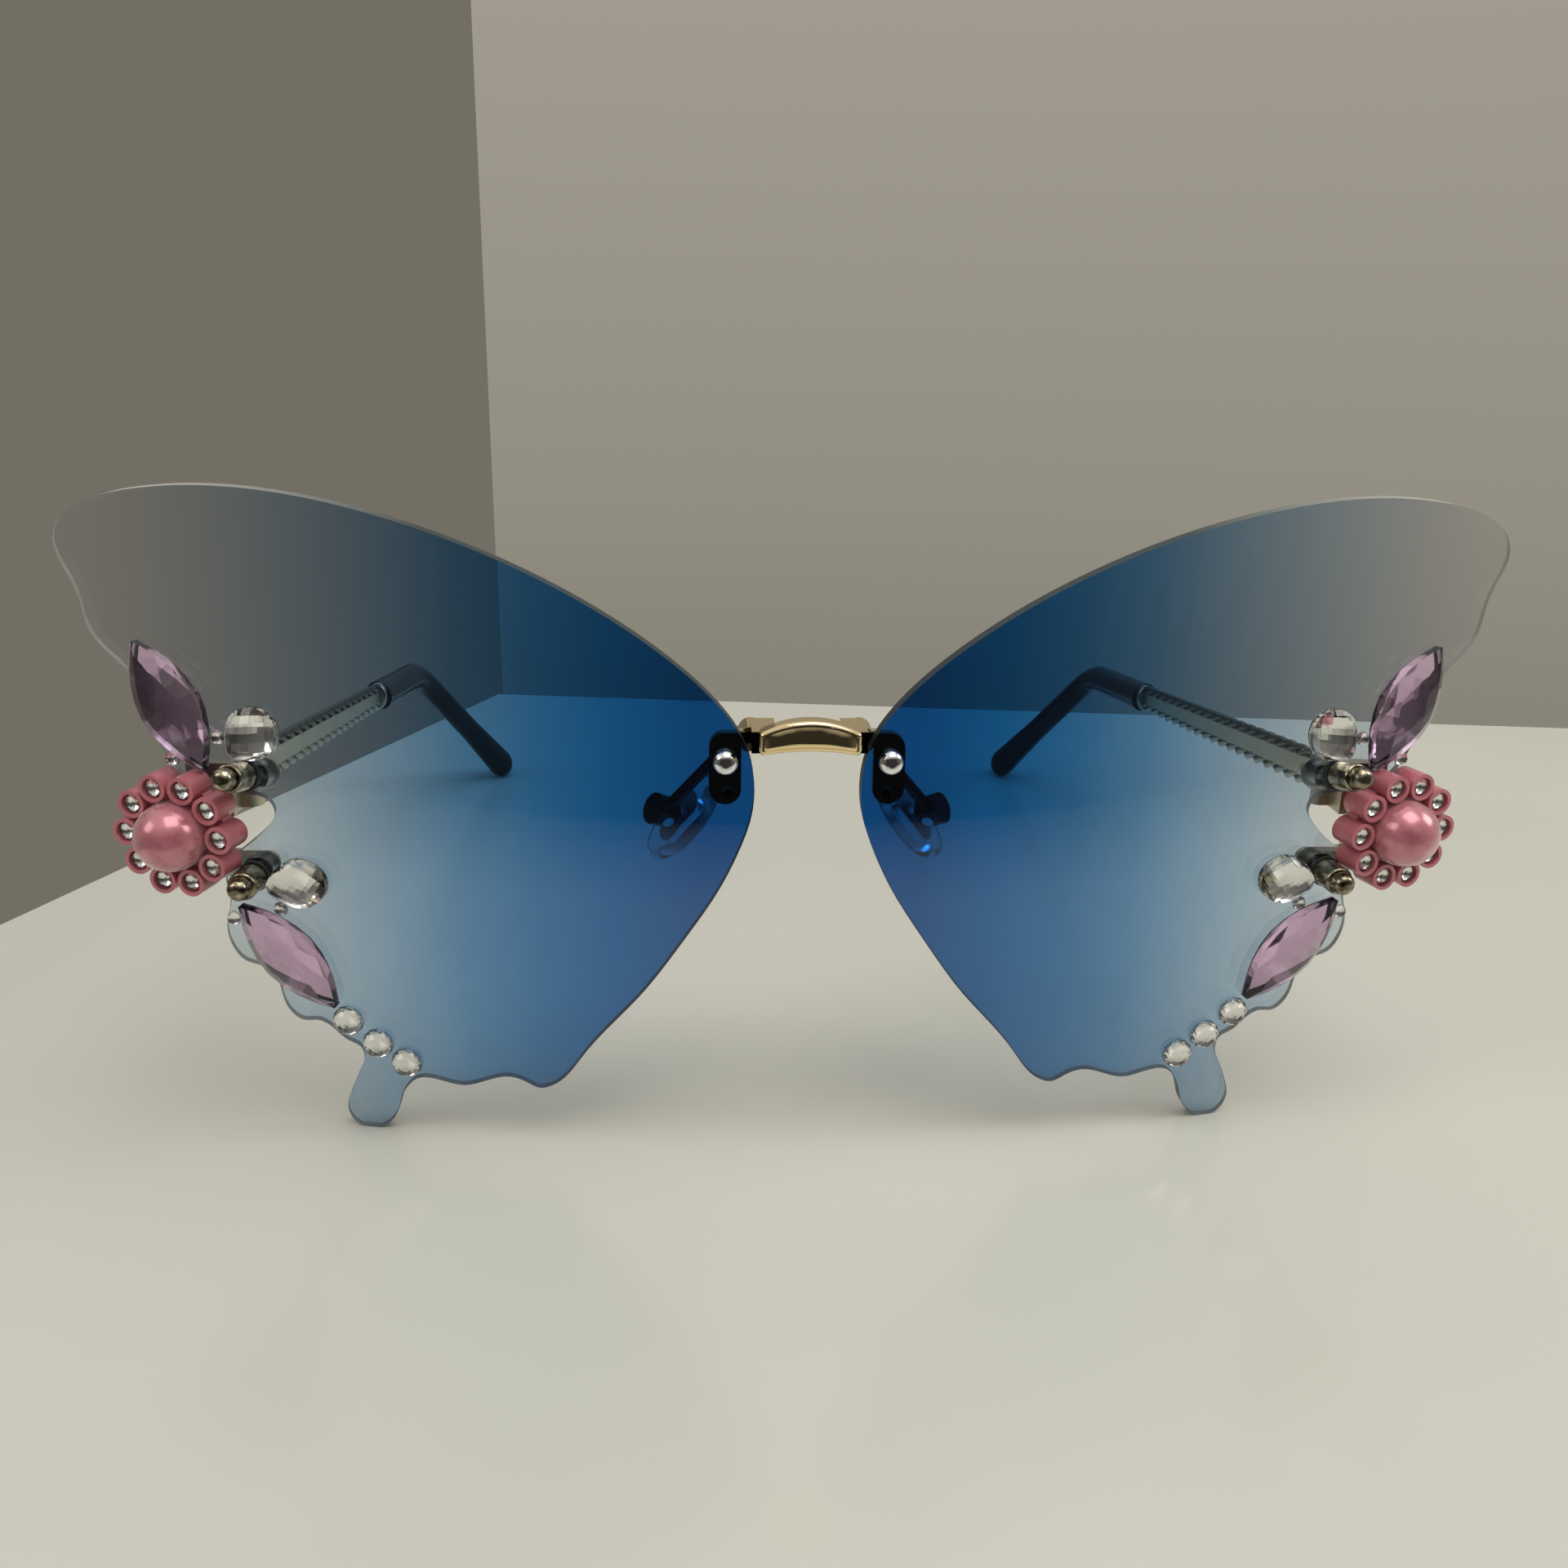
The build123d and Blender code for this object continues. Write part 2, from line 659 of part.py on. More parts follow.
def tip_path(start_shift, short):
    """The bent line of the sleeve: straight, round the bend, straight again."""
    start = temple_plane.from_local_coords(Vector(0, 0, ferrule_run + start_shift))
    turn = temple_along.get_angle(tip_along) * pi / 180
    cut_back = bend_radius * tan(turn / 2)
    enter = bend_point - temple_along * cut_back
    leave = bend_point + tip_along * cut_back
    inward = (tip_along - temple_along).normalized()
    middle = bend_point + inward * (bend_radius / cos(turn / 2) - bend_radius)
    arc = ThreePointArc(enter, middle, leave)
    return Line(start, enter) + arc + Line(leave, tip_point - tip_along * short)


def sleeve_plane(point, along):
    """A plane across the sleeve; its own X is square to the plane of the bend."""
    return Plane(origin=point, x_dir=temple_along.cross(tip_along), z_dir=along)


def temple_tip():
    """The sleeve: an oval run round the bend, flaring to a wide rounded end."""
    front = temple_plane.from_local_coords(Vector(0, 0, ferrule_run + ferrule_length + 2 * seat_gap))
    oval = Ellipse(sleeve_thickness / 2, sleeve_width / 2)
    path = tip_path(ferrule_length + 2 * seat_gap, tip_flare)
    run = sweep(sleeve_plane(front, temple_along) * oval, path=path)
    flare_start = sleeve_plane(tip_point - tip_along * tip_flare, tip_along)
    wide = Ellipse(tip_thickness / 2, tip_width / 2)
    flare_end = sleeve_plane(tip_point - tip_along * tip_cap, tip_along)
    flare = loft([flare_start * oval, flare_end * wide])
    flare += flare_end * scale(Sphere(1), by=(tip_thickness / 2, tip_width / 2, tip_cap))
    bore = sweep(core_section(core_radius + seat_gap), path=tip_path(-ferrule_length, core_short - seat_gap))
    return run + flare - bore


def cup_planes():
    """A plane on the lens behind each of the ten cups, the first one straight inwards of the centre."""
    planes = []
    for number in range(cup_count):
        angle = pi + 2 * pi * number / cup_count
        planes.append(flower_plane * Pos(cup_ring_radius * cos(angle), cup_ring_radius * sin(angle), 0))
    return planes


def flower():
    """Ten cups on a hub, with a seat for the pearl and a socket for its pin."""
    seat = flower_front + pearl_lift - pearl_rim - glue_line
    body = rod(flower_plane, cup_ring_radius, flower_stand, flower_stand + hub_depth)
    body += rod(flower_plane, cup_ring_radius - cup_radius / 2, flower_stand, seat)
    for plane in cup_planes():
        body += rod(plane, cup_radius, flower_stand, flower_front)
    for plane in cup_planes():
        body -= rod(plane, cup_radius - cup_wall, flower_front - cup_mouth_depth, overrun)
    body -= rod(flower_plane, pearl_radius + seat_gap, seat, overrun)
    return body - rod(flower_plane, boss_pin_radius + seat_gap, 0, flower_stand + boss_pin_length + seat_gap)


def pearl():
    """A round pearl with a flat back."""
    centre = flower_front + pearl_lift
    ball = flower_plane * Pos(0, 0, centre) * Sphere(pearl_radius)
    front = ball & rod(flower_plane, overrun, centre, overrun)
    return front + rod(flower_plane, pearl_radius, centre - pearl_rim, centre)


def ring_outline(shares):
    """A closed outline from the half outline: along one side and back on the other."""
    return shares + [(x, -y) for x, y in reversed(shares[1:-1])]


def round_outline(count):
    """The outline of a round stone."""
    return [(cos(2 * pi * n / count), sin(2 * pi * n / count)) for n in range(count)]


def half_step(outline, scale):
    """The same outline at another size, its points half a step further round."""
    after = outline[1:] + outline[:1]
    return [((a[0] + b[0]) * scale / 2, (a[1] + b[1]) * scale / 2) for a, b in zip(outline, after)]


def stone(outline, length, width, depth):
    """A flat-backed cut stone: girdle wall, two rows of flat facets and a table."""
    crown_size, crown_height = crown_shares
    levels = [(outline, 0), (outline, girdle_share), (half_step(outline, crown_size), crown_height),
              ([(x * table_share, y * table_share) for x, y in outline], 1)]
    rings = []
    for ring, height in levels:
        rings.append([Vector(x * length / 2, y * width / 2, height * depth) for x, y in ring])
    faces = [Face(Wire.make_polygon(rings[0])), Face(Wire.make_polygon(rings[-1]))]
    count = len(outline)
    for n in range(count):
        m = (n + 1) % count
        base, girdle, crown, table = rings
        faces.append(Face(Wire.make_polygon([base[n], base[m], girdle[m], girdle[n]])))
        faces.append(Face(Wire.make_polygon([girdle[n], girdle[m], crown[n]])))
        faces.append(Face(Wire.make_polygon([girdle[m], crown[m], crown[n]])))
        faces.append(Face(Wire.make_polygon([crown[n], crown[m], table[m]])))
        faces.append(Face(Wire.make_polygon([table[n], table[m], crown[n]])))
    return Solid(Shell(faces))


def on_lens(x, z, direction):
    """A plane on the lens front, square to it, with its own X along a direction of the front view."""
    outward = lens_normal(x, z)
    point = Vector(0, dome_radius, dome_rise) + outward * (dome_radius + glue_line)
    return Plane(origin=point, x_dir=(direction[0], 0, direction[1]), z_dir=outward)


def pointed_stone(shares, half_outline, length, width, depth):
    """A stone between or along two points of the front view."""
    (x_from, z_from), (x_to, z_to) = [near_flower(share) for share in shares]
    centre = ((x_from + x_to) / 2, (z_from + z_to) / 2)
    plane = on_lens(*centre, (x_to - x_from, z_to - z_from))
    return plane * stone(ring_outline(half_outline), length, width, depth)


def teardrop(shares, length, width):
    """A teardrop: its centre, then a point that its tip looks towards."""
    (x, z), (x_to, z_to) = [near_flower(share) for share in shares]
    plane = on_lens(x, z, (x_to - x, z_to - z))
    return plane * stone(ring_outline(teardrop_shares), length, width, teardrop_depth)


def lens_stones(shares, count, width, depth):
    """A group of like round stones on the lens."""
    stones = []
    for share in shares:
        x, z = near_flower(share)
        stones.append(on_lens(x, z, (1, 0)) * stone(round_outline(count), width, width, depth))
    return stones


def flower_stones():
    """The ten small stones in the mouths of the cups."""
    bottom = flower_front - cup_mouth_depth + glue_line
    stones = []
    for plane in cup_planes():
        gem = stone(round_outline(8), cup_stone_width, cup_stone_width, cup_stone_depth)
        stones.append(plane * Pos(0, 0, bottom) * gem)
    return stones


def save(name, shape):
    """Write one piece, moved so that the origin is under the middle of the whole."""
    moved = [Pos(0, -middle_y, 0) * piece for piece in (shape if isinstance(shape, list) else [shape])]
    export_step(moved[0] if len(moved) == 1 else Compound(children=moved), "parts/" + name + ".step")


def save_pair(name, shape):
    """Write a piece for the left side and its mirror image for the right."""
    pieces = shape if isinstance(shape, list) else [shape]
    save(name + "_left", pieces)
    save(name + "_right", [other_side(piece) for piece in pieces])


bridge_piece = bridge()
tip_piece = temple_tip()
middle_y = (bridge_piece.bounding_box().min.Y + tip_piece.bounding_box().max.Y) / 2

save("bridge", bridge_piece)
save_pair("lens", lens())
save_pair("bridge_screw", bridge_screw())
save_pair("bridge_bush", bridge_bush())
save_pair("bridge_nut", bridge_nut())
save_pair("nose_pad_arm", pad_arm())
save_pair("pad_box", pad_box())
save_pair("pad_screw", pad_screw())
save_pair("pad_insert", pad_insert())
save_pair("nose_pad", nose_pad())
save_pair("end_piece", end_piece())
save_pair("end_cap_nuts", cap_nuts())
save_pair("end_washers", end_washers())
save_pair("end_bushes", end_bushes())
save_pair("hinge_screw", hinge_screw())
save_pair("hinge_leaf", hinge_leaf())
save_pair("temple_bar", temple_bar())
save_pair("rope_upper", rope(-1, rope_radius))
save_pair("rope_lower", rope(1, rope_radius))
save_pair("ferrule", ferrule())
save_pair("temple_tip", tip_piece)
save_pair("flower", flower())
save_pair("pearl", pearl())
save_pair("flower_stones", flower_stones())
save_pair("marquise_upper", pointed_stone(marquise_upper_shares, marquise_shares, marquise_length,
                                          marquise_upper_width, marquise_depth))
save_pair("marquise_lower", pointed_stone(marquise_lower_shares, marquise_shares, marquise_length,
                                          marquise_lower_width, marquise_depth))
save_pair("teardrop_upper", teardrop(teardrop_upper_shares, teardrop_upper_length, teardrop_upper_width))
save_pair("teardrop_lower", teardrop(teardrop_lower_shares, teardrop_lower_length, teardrop_lower_width))
save_pair("round_stones", lens_stones(round_shares, 12, round_width, round_depth))
save_pair("seed_stones", lens_stones(seed_shares, 8, seed_width, seed_depth))
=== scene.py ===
# %% [markdown]
# # Butterfly sunglasses
# Rimless sunglasses: two dyed lenses with the outline of a butterfly's wings hang from a gold
# bridge, and each carries glued stones and a moulded flower where its temple is screwed on.
# The CAD model is loaded as a fixed frame, with every lens, screw and hinge already in place.
# This script dresses it: it gives each piece its finish, rounds the front of the bridge,
# winds the ropes of the temples, cuts the stones facet by facet, and sets up a table, soft
# lamps and the camera.

# %% Load the frame
import bpy
import bmesh
import math
from mathutils import Matrix, Vector


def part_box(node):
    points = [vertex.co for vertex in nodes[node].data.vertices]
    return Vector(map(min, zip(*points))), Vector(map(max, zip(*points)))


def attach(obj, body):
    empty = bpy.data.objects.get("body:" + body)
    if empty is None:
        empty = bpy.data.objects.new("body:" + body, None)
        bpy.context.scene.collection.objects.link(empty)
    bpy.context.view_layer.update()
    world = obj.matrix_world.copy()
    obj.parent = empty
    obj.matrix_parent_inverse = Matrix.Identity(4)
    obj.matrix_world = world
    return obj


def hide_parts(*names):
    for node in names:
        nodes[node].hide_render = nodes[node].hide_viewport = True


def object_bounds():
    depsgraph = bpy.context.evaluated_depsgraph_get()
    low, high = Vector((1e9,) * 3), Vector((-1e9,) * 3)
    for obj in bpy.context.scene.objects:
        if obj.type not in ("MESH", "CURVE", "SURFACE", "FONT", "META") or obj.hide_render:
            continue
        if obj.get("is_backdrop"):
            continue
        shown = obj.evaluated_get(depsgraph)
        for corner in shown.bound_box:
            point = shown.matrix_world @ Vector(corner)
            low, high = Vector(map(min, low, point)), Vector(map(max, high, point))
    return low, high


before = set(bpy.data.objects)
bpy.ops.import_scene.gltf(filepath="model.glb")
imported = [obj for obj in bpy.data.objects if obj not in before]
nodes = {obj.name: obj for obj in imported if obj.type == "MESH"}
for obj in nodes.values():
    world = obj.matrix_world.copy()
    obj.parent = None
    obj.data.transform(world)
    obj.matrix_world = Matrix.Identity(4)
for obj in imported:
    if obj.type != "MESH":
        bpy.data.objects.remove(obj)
cad_box = [list(corner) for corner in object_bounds()]
print("box of the CAD model in mm:", [[round(v * 1000, 1) for v in corner] for corner in cad_box])

# %% [markdown]
# ## Where things are
# The lenses are pieces of one large dome, so its centre says where a stone sits and which way
# it looks. Each place could be measured on the mesh instead, but the dome gives them all by
# one sum. All distances are in metres. The front of the lenses between the eyes is the place
# that the other depths are counted from, and the bridge stands a little before it.

# %% Places on the frame
SIDES = ("left", "right")
BRIDGE_PROUD = 0.0026
LENS_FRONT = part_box("bridge")[0].y + BRIDGE_PROUD
DOME_RADIUS = 0.245
DOME_CENTRE = Vector((0, LENS_FRONT + DOME_RADIUS, 0.0359))
FLOWER_X, FLOWER_Z = 0.065208, 0.0361872
FLOWER_RADIUS = 0.00685
print("lens front at y =", round(LENS_FRONT * 1000, 2), "mm")

# %% [markdown]
# ## Small helpers for materials
# A material is a Principled shader. What is the same all over a surface is set on the shader's
# own sockets. What changes over it, such as the tint of a lens, comes from nodes that read
# places on the object, so it stays put when the sunglasses are folded or turned. Painted
# images would do as well, but a pattern that is worked out stays sharp at any distance.

# %% A new material
def shader(name, **sockets):
    """A new material with a Principled shader; socket names use _ for spaces."""
    material = bpy.data.materials.new(name)
    material.use_nodes = True
    principled = material.node_tree.nodes["Principled BSDF"]
    for key, value in sockets.items():
        principled.inputs[key.replace("_", " ")].default_value = value
    return material, material.node_tree, principled


def drive(principled, **sockets):
    """Feeds the outputs of other nodes to the shader; socket names use _ for spaces."""
    for key, value in sockets.items():
        principled.id_data.links.new(value, principled.inputs[key.replace("_", " ")])


def dress(material, *names):
    """Gives a material to CAD nodes; a name without a side means both sides."""
    for name in names:
        for node in ([name] if name in nodes else [name + "_" + side for side in SIDES]):
            mesh = nodes[node].data
            mesh.materials.clear()
            mesh.materials.append(material)


print("helpers for a material:", [helper.__name__ for helper in (shader, drive, dress)])


# %% Sums and blends between nodes
def calculate(tree, operation, first, second=0.0):
    """One sum; each value is a number or another node's output."""
    node = tree.nodes.new("ShaderNodeMath")
    node.operation = operation
    for socket, value in zip(node.inputs, (first, second)):
        if isinstance(value, (int, float)):
            socket.default_value = value
        else:
            tree.links.new(value, socket)
    return node.outputs["Value"]


def spread(tree, value, low, high, start=0.0, end=1.0):
    """Maps a value from start..end to low..high, and no further."""
    node = tree.nodes.new("ShaderNodeMapRange")
    node.inputs["From Min"].default_value = start
    node.inputs["From Max"].default_value = end
    node.inputs["To Min"].default_value = low
    node.inputs["To Max"].default_value = high
    tree.links.new(value, node.inputs["Value"])
    return node.outputs["Result"]


def colour_blend(tree, share, first, second):
    """A blend of two colours; each is a plain colour or another node's output."""
    node = tree.nodes.new("ShaderNodeMix")
    node.data_type = "RGBA"
    tree.links.new(share, node.inputs["Factor"])
    for socket, colour in (("A", first), ("B", second)):
        if isinstance(colour, tuple):
            node.inputs[socket].default_value = (*colour, 1)
        else:
            tree.links.new(colour, node.inputs[socket])
    return node.outputs["Result"]


print("helpers for sums:", [helper.__name__ for helper in (calculate, spread, colour_blend)])


# %% Patterns
def noise(tree, scale, detail=3.0, stretch=(1, 1, 1)):
    """A noise texture in object space; scale is in blobs per metre."""
    place = tree.nodes.new("ShaderNodeTexCoord")
    mapping = tree.nodes.new("ShaderNodeMapping")
    mapping.inputs["Scale"].default_value = stretch
    texture = tree.nodes.new("ShaderNodeTexNoise")
    texture.inputs["Scale"].default_value = scale
    texture.inputs["Detail"].default_value = detail
    tree.links.new(place.outputs["Object"], mapping.inputs["Vector"])
    tree.links.new(mapping.outputs["Vector"], texture.inputs["Vector"])
    return texture.outputs["Fac"]


def drift(tree, low, high, scale, detail=3.0):
    """A number that drifts between low and high over the surface."""
    return spread(tree, noise(tree, scale, detail), low, high)


def ramp(tree, value, stops):
    """Turns a value into a colour, through (position, colour) stops."""
    node = tree.nodes.new("ShaderNodeValToRGB")
    elements = node.color_ramp.elements
    while len(elements) < len(stops):
        elements.new(0.5)
    for element, (position, colour) in zip(elements, stops):
        element.position = position
        element.color = (*colour, 1)
    tree.links.new(value, node.inputs["Fac"])
    return node.outputs["Color"]


print("helpers for patterns:", [helper.__name__ for helper in (noise, drift, ramp)])


# %% Relief and directions
def bump(tree, principled, value, height, strength=1.0):
    """Raises the surface by a value, on top of any earlier bump; height is in metres."""
    node = tree.nodes.new("ShaderNodeBump")
    node.inputs["Distance"].default_value = height
    node.inputs["Strength"].default_value = strength
    tree.links.new(value, node.inputs["Height"])
    for earlier in principled.inputs["Normal"].links:
        tree.links.new(earlier.from_socket, node.inputs["Normal"])
    tree.links.new(node.outputs["Normal"], principled.inputs["Normal"])


def axes(tree, source):
    """The X, Y and Z of a texture coordinate."""
    place = tree.nodes.new("ShaderNodeTexCoord")
    split = tree.nodes.new("ShaderNodeSeparateXYZ")
    tree.links.new(place.outputs[source], split.inputs["Vector"])
    return split.outputs["X"], split.outputs["Y"], split.outputs["Z"]


def vector_sum(tree, operation, *values):
    """One sum with directions; each value is a Vector or another node's output."""
    node = tree.nodes.new("ShaderNodeVectorMath")
    node.operation = operation
    for socket, value in zip(node.inputs, values):
        if isinstance(value, Vector):
            socket.default_value = value
        else:
            tree.links.new(value, socket)
    return node.outputs


print("helpers for directions:", [helper.__name__ for helper in (bump, axes, vector_sum)])

# %% [markdown]
# ## Metals
# The temples and end pieces are a pale brushed gold, their ropes a duller one, and the upper
# ropes a darker copy of it, as painted shade. The nose pad arms and their boxes are
# blackened, and the screws bright steel. A plain metallic shader would look like a drawing.
# So one recipe serves them all: the colour and roughness drift with a noise, like the smears
# that fingers leave, and a bump of a few thousandths of a millimetre stands for the polishing
# marks.

# %% One recipe for metal
SMEARS_PER_METRE, MARKS_PER_METRE = 260, 900
SMEAR_START, SMEAR_END = 0.3, 0.75
MARK_DEPTH = 0.000004


def metal(name, colour, rough, wear=0.08, dull=0.9):
    """Polished metal; its smears add wear to its roughness and multiply its colour by dull."""
    material, tree, principled = shader(name, Metallic=1.0, IOR=1.8)
    smear = noise(tree, SMEARS_PER_METRE, detail=4)
    smeared = [channel * dull for channel in colour]
    colours = ramp(tree, smear, [(SMEAR_START, colour), (SMEAR_END, smeared)])
    drive(principled, Base_Color=colours, Roughness=spread(tree, smear, rough, rough + wear))
    marks = noise(tree, MARKS_PER_METRE, detail=2, stretch=(1, 1, 4))
    bump(tree, principled, marks, MARK_DEPTH, strength=0.25)
    return material


print("recipe for metal:", metal.__name__)

# %% Gold, black metal and steel
gold_plate = metal("gold_plate", (0.84, 0.66, 0.37), rough=0.10)
brushed_gold = metal("brushed_gold", (0.61, 0.56, 0.43), rough=0.30, wear=0.12)
ring_gold = metal("ring_gold", (0.44, 0.43, 0.39), rough=0.22)
black_metal = metal("black_metal", (0.045, 0.045, 0.052), rough=0.09, wear=0.10)
bright_steel = metal("bright_steel", (0.86, 0.86, 0.87), rough=0.05)
satin_steel = metal("satin_steel", (0.55, 0.55, 0.56), rough=0.35)
dress(gold_plate, "bridge_nut")
dress(brushed_gold, "temple_bar", "hinge_leaf", "end_piece")
dress(ring_gold, "ferrule")
dress(black_metal, "pad_box", "nose_pad_arm")
dress(bright_steel, "bridge_screw", "hinge_screw", "pad_screw")
dress(satin_steel, "pad_insert")
metals = (gold_plate, brushed_gold, ring_gold, black_metal, bright_steel, satin_steel)
print("metals:", [material.name for material in metals])

# %% Metals of the ropes
rope_gold = metal("rope_gold", (0.52, 0.50, 0.41), rough=0.24, wear=0.10)
# Painted shade: the upper ropes get this darker copy of the rope metal.
rope_painted_shade = metal("rope_painted_shade", (0.17, 0.17, 0.15), rough=0.26, wear=0.10)
# Painted shade: the faces between the strands of each rope get this near-black metal.
groove_painted_shade = metal("groove_painted_shade", (0.04, 0.04, 0.035), rough=0.40, wear=0.10)
print("metals of the ropes:", rope_gold.name, rope_painted_shade.name, groove_painted_shade.name)

# %% [markdown]
# ## Cap nuts
# The nuts that close the temple screws are domed, and their plating has worn unevenly, so they
# show dark and light patches. These could be painted by hand. A coarse noise that decides
# between brass and a darker brown metal is quicker and has no seam.

# %% Mottled gold
MOTTLES = [(0.36, (0.07, 0.06, 0.04)), (0.50, (0.24, 0.21, 0.14)), (0.66, (0.46, 0.42, 0.31))]
mottled_gold, tree, principled = shader("mottled_gold", Metallic=1.0, IOR=1.8)
patches = noise(tree, 900, detail=4)
drive(principled, Base_Color=ramp(tree, patches, MOTTLES),
      Roughness=spread(tree, patches, 0.10, 0.30))
bump(tree, principled, patches, height=0.00003, strength=0.4)
dress(mottled_gold, "end_cap_nuts")
print("cap nuts in", mottled_gold.name)

# %% [markdown]
# ## Bridge
# The bridge is one cast piece of gold plate. The necks where it meets the lenses are painted
# black as shade, for the gold there mirrors only the dark room. The casting could be cut in two
# materials along a seam. A mask of where a point lies, outside the arch, before the lens and
# under the knobs, needs no seam at all.

# %% Bridge with black necks
NECK_START = 0.00513
NECK_BACK = LENS_FRONT + 0.00276
NECK_TOP = 0.04955
# Painted shade: the necks of the bridge are painted this black, where the gold would mirror only
# the dark room.
NECK_SHADE_BLACK = (0.02, 0.02, 0.028)
BRIDGE_FINISH = {"colour": (0.86, 0.68, 0.38), "rough": 0.06, "wear": 0.04}
bridge_metal = metal("bridge_metal", **BRIDGE_FINISH)
tree = bridge_metal.node_tree
principled = tree.nodes["Principled BSDF"]
plated = principled.inputs["Base Color"].links[0].from_socket
across, deep, high = axes(tree, "Object")
# The mask of the necks, where the black painted shade goes.
outside = calculate(tree, "GREATER_THAN", calculate(tree, "ABSOLUTE", across), NECK_START)
before = calculate(tree, "LESS_THAN", deep, NECK_BACK)
below = calculate(tree, "LESS_THAN", high, NECK_TOP)
necks = calculate(tree, "MULTIPLY", calculate(tree, "MULTIPLY", outside, before), below)
drive(principled, Base_Color=colour_blend(tree, necks, plated, NECK_SHADE_BLACK))
dress(bridge_metal, "bridge")
print("necks start", round(NECK_START * 1000, 2), "mm from the middle")

# %% [markdown]
# ## Crown of the bridge
# The front of the arch is polished to a low crown, highest in its lower half. So its upper part
# mirrors the bright ceiling, its middle the dark room, and its lower edge the table. It could
# be sculpted, but a grid of points that bulges by less than half a millimetre is exact. The
# grid is closed at the back, inside the casting.

# %% Shape of the crown
ARCH_HALF, ARCH_LOW, ARCH_RISE = 0.005124, 0.0473238, 0.0005
ARCH_ENDS, ARCH_MIDDLE = 0.00235, 0.00315
ARCH_FRONT = LENS_FRONT - BRIDGE_PROUD
CROWN_INSET, CROWN_SUNK, CROWN_DEPTH = 0.00040, 0.00006, 0.00040
CROWN_PEAK, CROWN_ENDS = -0.5, 8


def crown_point(across, rise):
    """A point of the crown; across and rise go from -1 to 1 over the front of the arch."""
    x = across * (ARCH_HALF - CROWN_INSET)
    arch = 1 - (x / ARCH_HALF) ** 2
    low = ARCH_LOW + ARCH_RISE * arch + CROWN_INSET
    height = ARCH_ENDS + (ARCH_MIDDLE - ARCH_ENDS) * arch - 2 * CROWN_INSET
    reach = 1 - CROWN_PEAK if rise > CROWN_PEAK else 1 + CROWN_PEAK
    bulge = (1 - across ** CROWN_ENDS) * (1 - ((rise - CROWN_PEAK) / reach) ** 2)
    return x, ARCH_FRONT + CROWN_SUNK - CROWN_DEPTH * bulge, low + height * (rise + 1) / 2


print("crown stands", round((ARCH_FRONT - crown_point(0, CROWN_PEAK)[1]) * 1000, 2), "mm proud")

# %% Mesh of the crown
CROWN_BACK = 0.00030
COLUMNS, ROWS = 48, 16
shape = bmesh.new()
rows = [[shape.verts.new(crown_point(2 * column / COLUMNS - 1, 2 * row / ROWS - 1))
         for column in range(COLUMNS + 1)] for row in range(ROWS + 1)]
for lower, upper in zip(rows, rows[1:]):
    for n in range(COLUMNS):
        shape.faces.new((lower[n], lower[n + 1], upper[n + 1], upper[n])).smooth = True
print("crown front:", len(shape.faces), "faces")

# %% Back of the crown
rim = rows[0] + [row[-1] for row in rows[1:-1]] + rows[-1][::-1] + [row[0] for row in rows[-2:0:-1]]
back = [shape.verts.new((point.co.x, ARCH_FRONT + CROWN_BACK, point.co.z)) for point in rim]
for n in range(len(rim)):
    shape.faces.new((rim[n], rim[n - 1], back[n - 1], back[n])).smooth = True
shape.faces.new(back[::-1]).smooth = True
print("open edges of the crown:", sum(edge.is_boundary for edge in shape.edges),
      "volume in cubic mm:", round(shape.calc_volume(signed=True) * 1e9, 2))

# %% Crown as a piece
WAVES_PER_METRE, WAVE_HEIGHT = 420, 0.00018
mesh = bpy.data.meshes.new("arch_crown")
shape.to_mesh(mesh)
shape.free()
crown_gold = metal("crown_gold", **BRIDGE_FINISH)
tree = crown_gold.node_tree
waves = noise(tree, WAVES_PER_METRE, detail=1)
bump(tree, tree.nodes["Principled BSDF"], waves, WAVE_HEIGHT)
mesh.materials.append(crown_gold)
crown = bpy.data.objects.new("arch_crown", mesh)
bpy.context.collection.objects.link(crown)
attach(crown, "front")
print("crown points:", len(mesh.vertices), "faces:", len(mesh.polygons))

# %% [markdown]
# ## Lenses
# Each lens is one clear sheet, dyed: deep blue next to the nose, fading sideways to nearly
# clear. It could be built of coloured slices, but a ramp over the distance from the middle
# fades without steps, and both lenses share it. A thin hard coat adds a faint mirror to both
# faces. The sawn edge is ground and has no coat, so it scatters light, and looks dark where
# the dye is deep and frosted at the wing tips. It is found by its direction: on the faces the
# surface looks along the dome's radius, at the edge across it.

# %% Lens tint
HALF_SPAN = 0.078
TINT = [(0.15, (0.006, 0.105, 0.39)), (0.26, (0.012, 0.160, 0.48)), (0.36, (0.042, 0.220, 0.54)),
        (0.46, (0.115, 0.320, 0.62)), (0.56, (0.280, 0.470, 0.71)), (0.67, (0.470, 0.620, 0.79)),
        (0.77, (0.650, 0.760, 0.86)), (0.87, (0.820, 0.870, 0.92)), (0.96, (0.94, 0.96, 0.97))]
lens_tint, tree, principled = shader("lens_tint", IOR=1.49, Coat_IOR=1.42, Coat_Roughness=0.05)
across = calculate(tree, "ABSOLUTE", axes(tree, "Object")[0])
outwards = calculate(tree, "DIVIDE", across, HALF_SPAN)
tint = ramp(tree, outwards, TINT)
print("tint stops:", len(TINT))

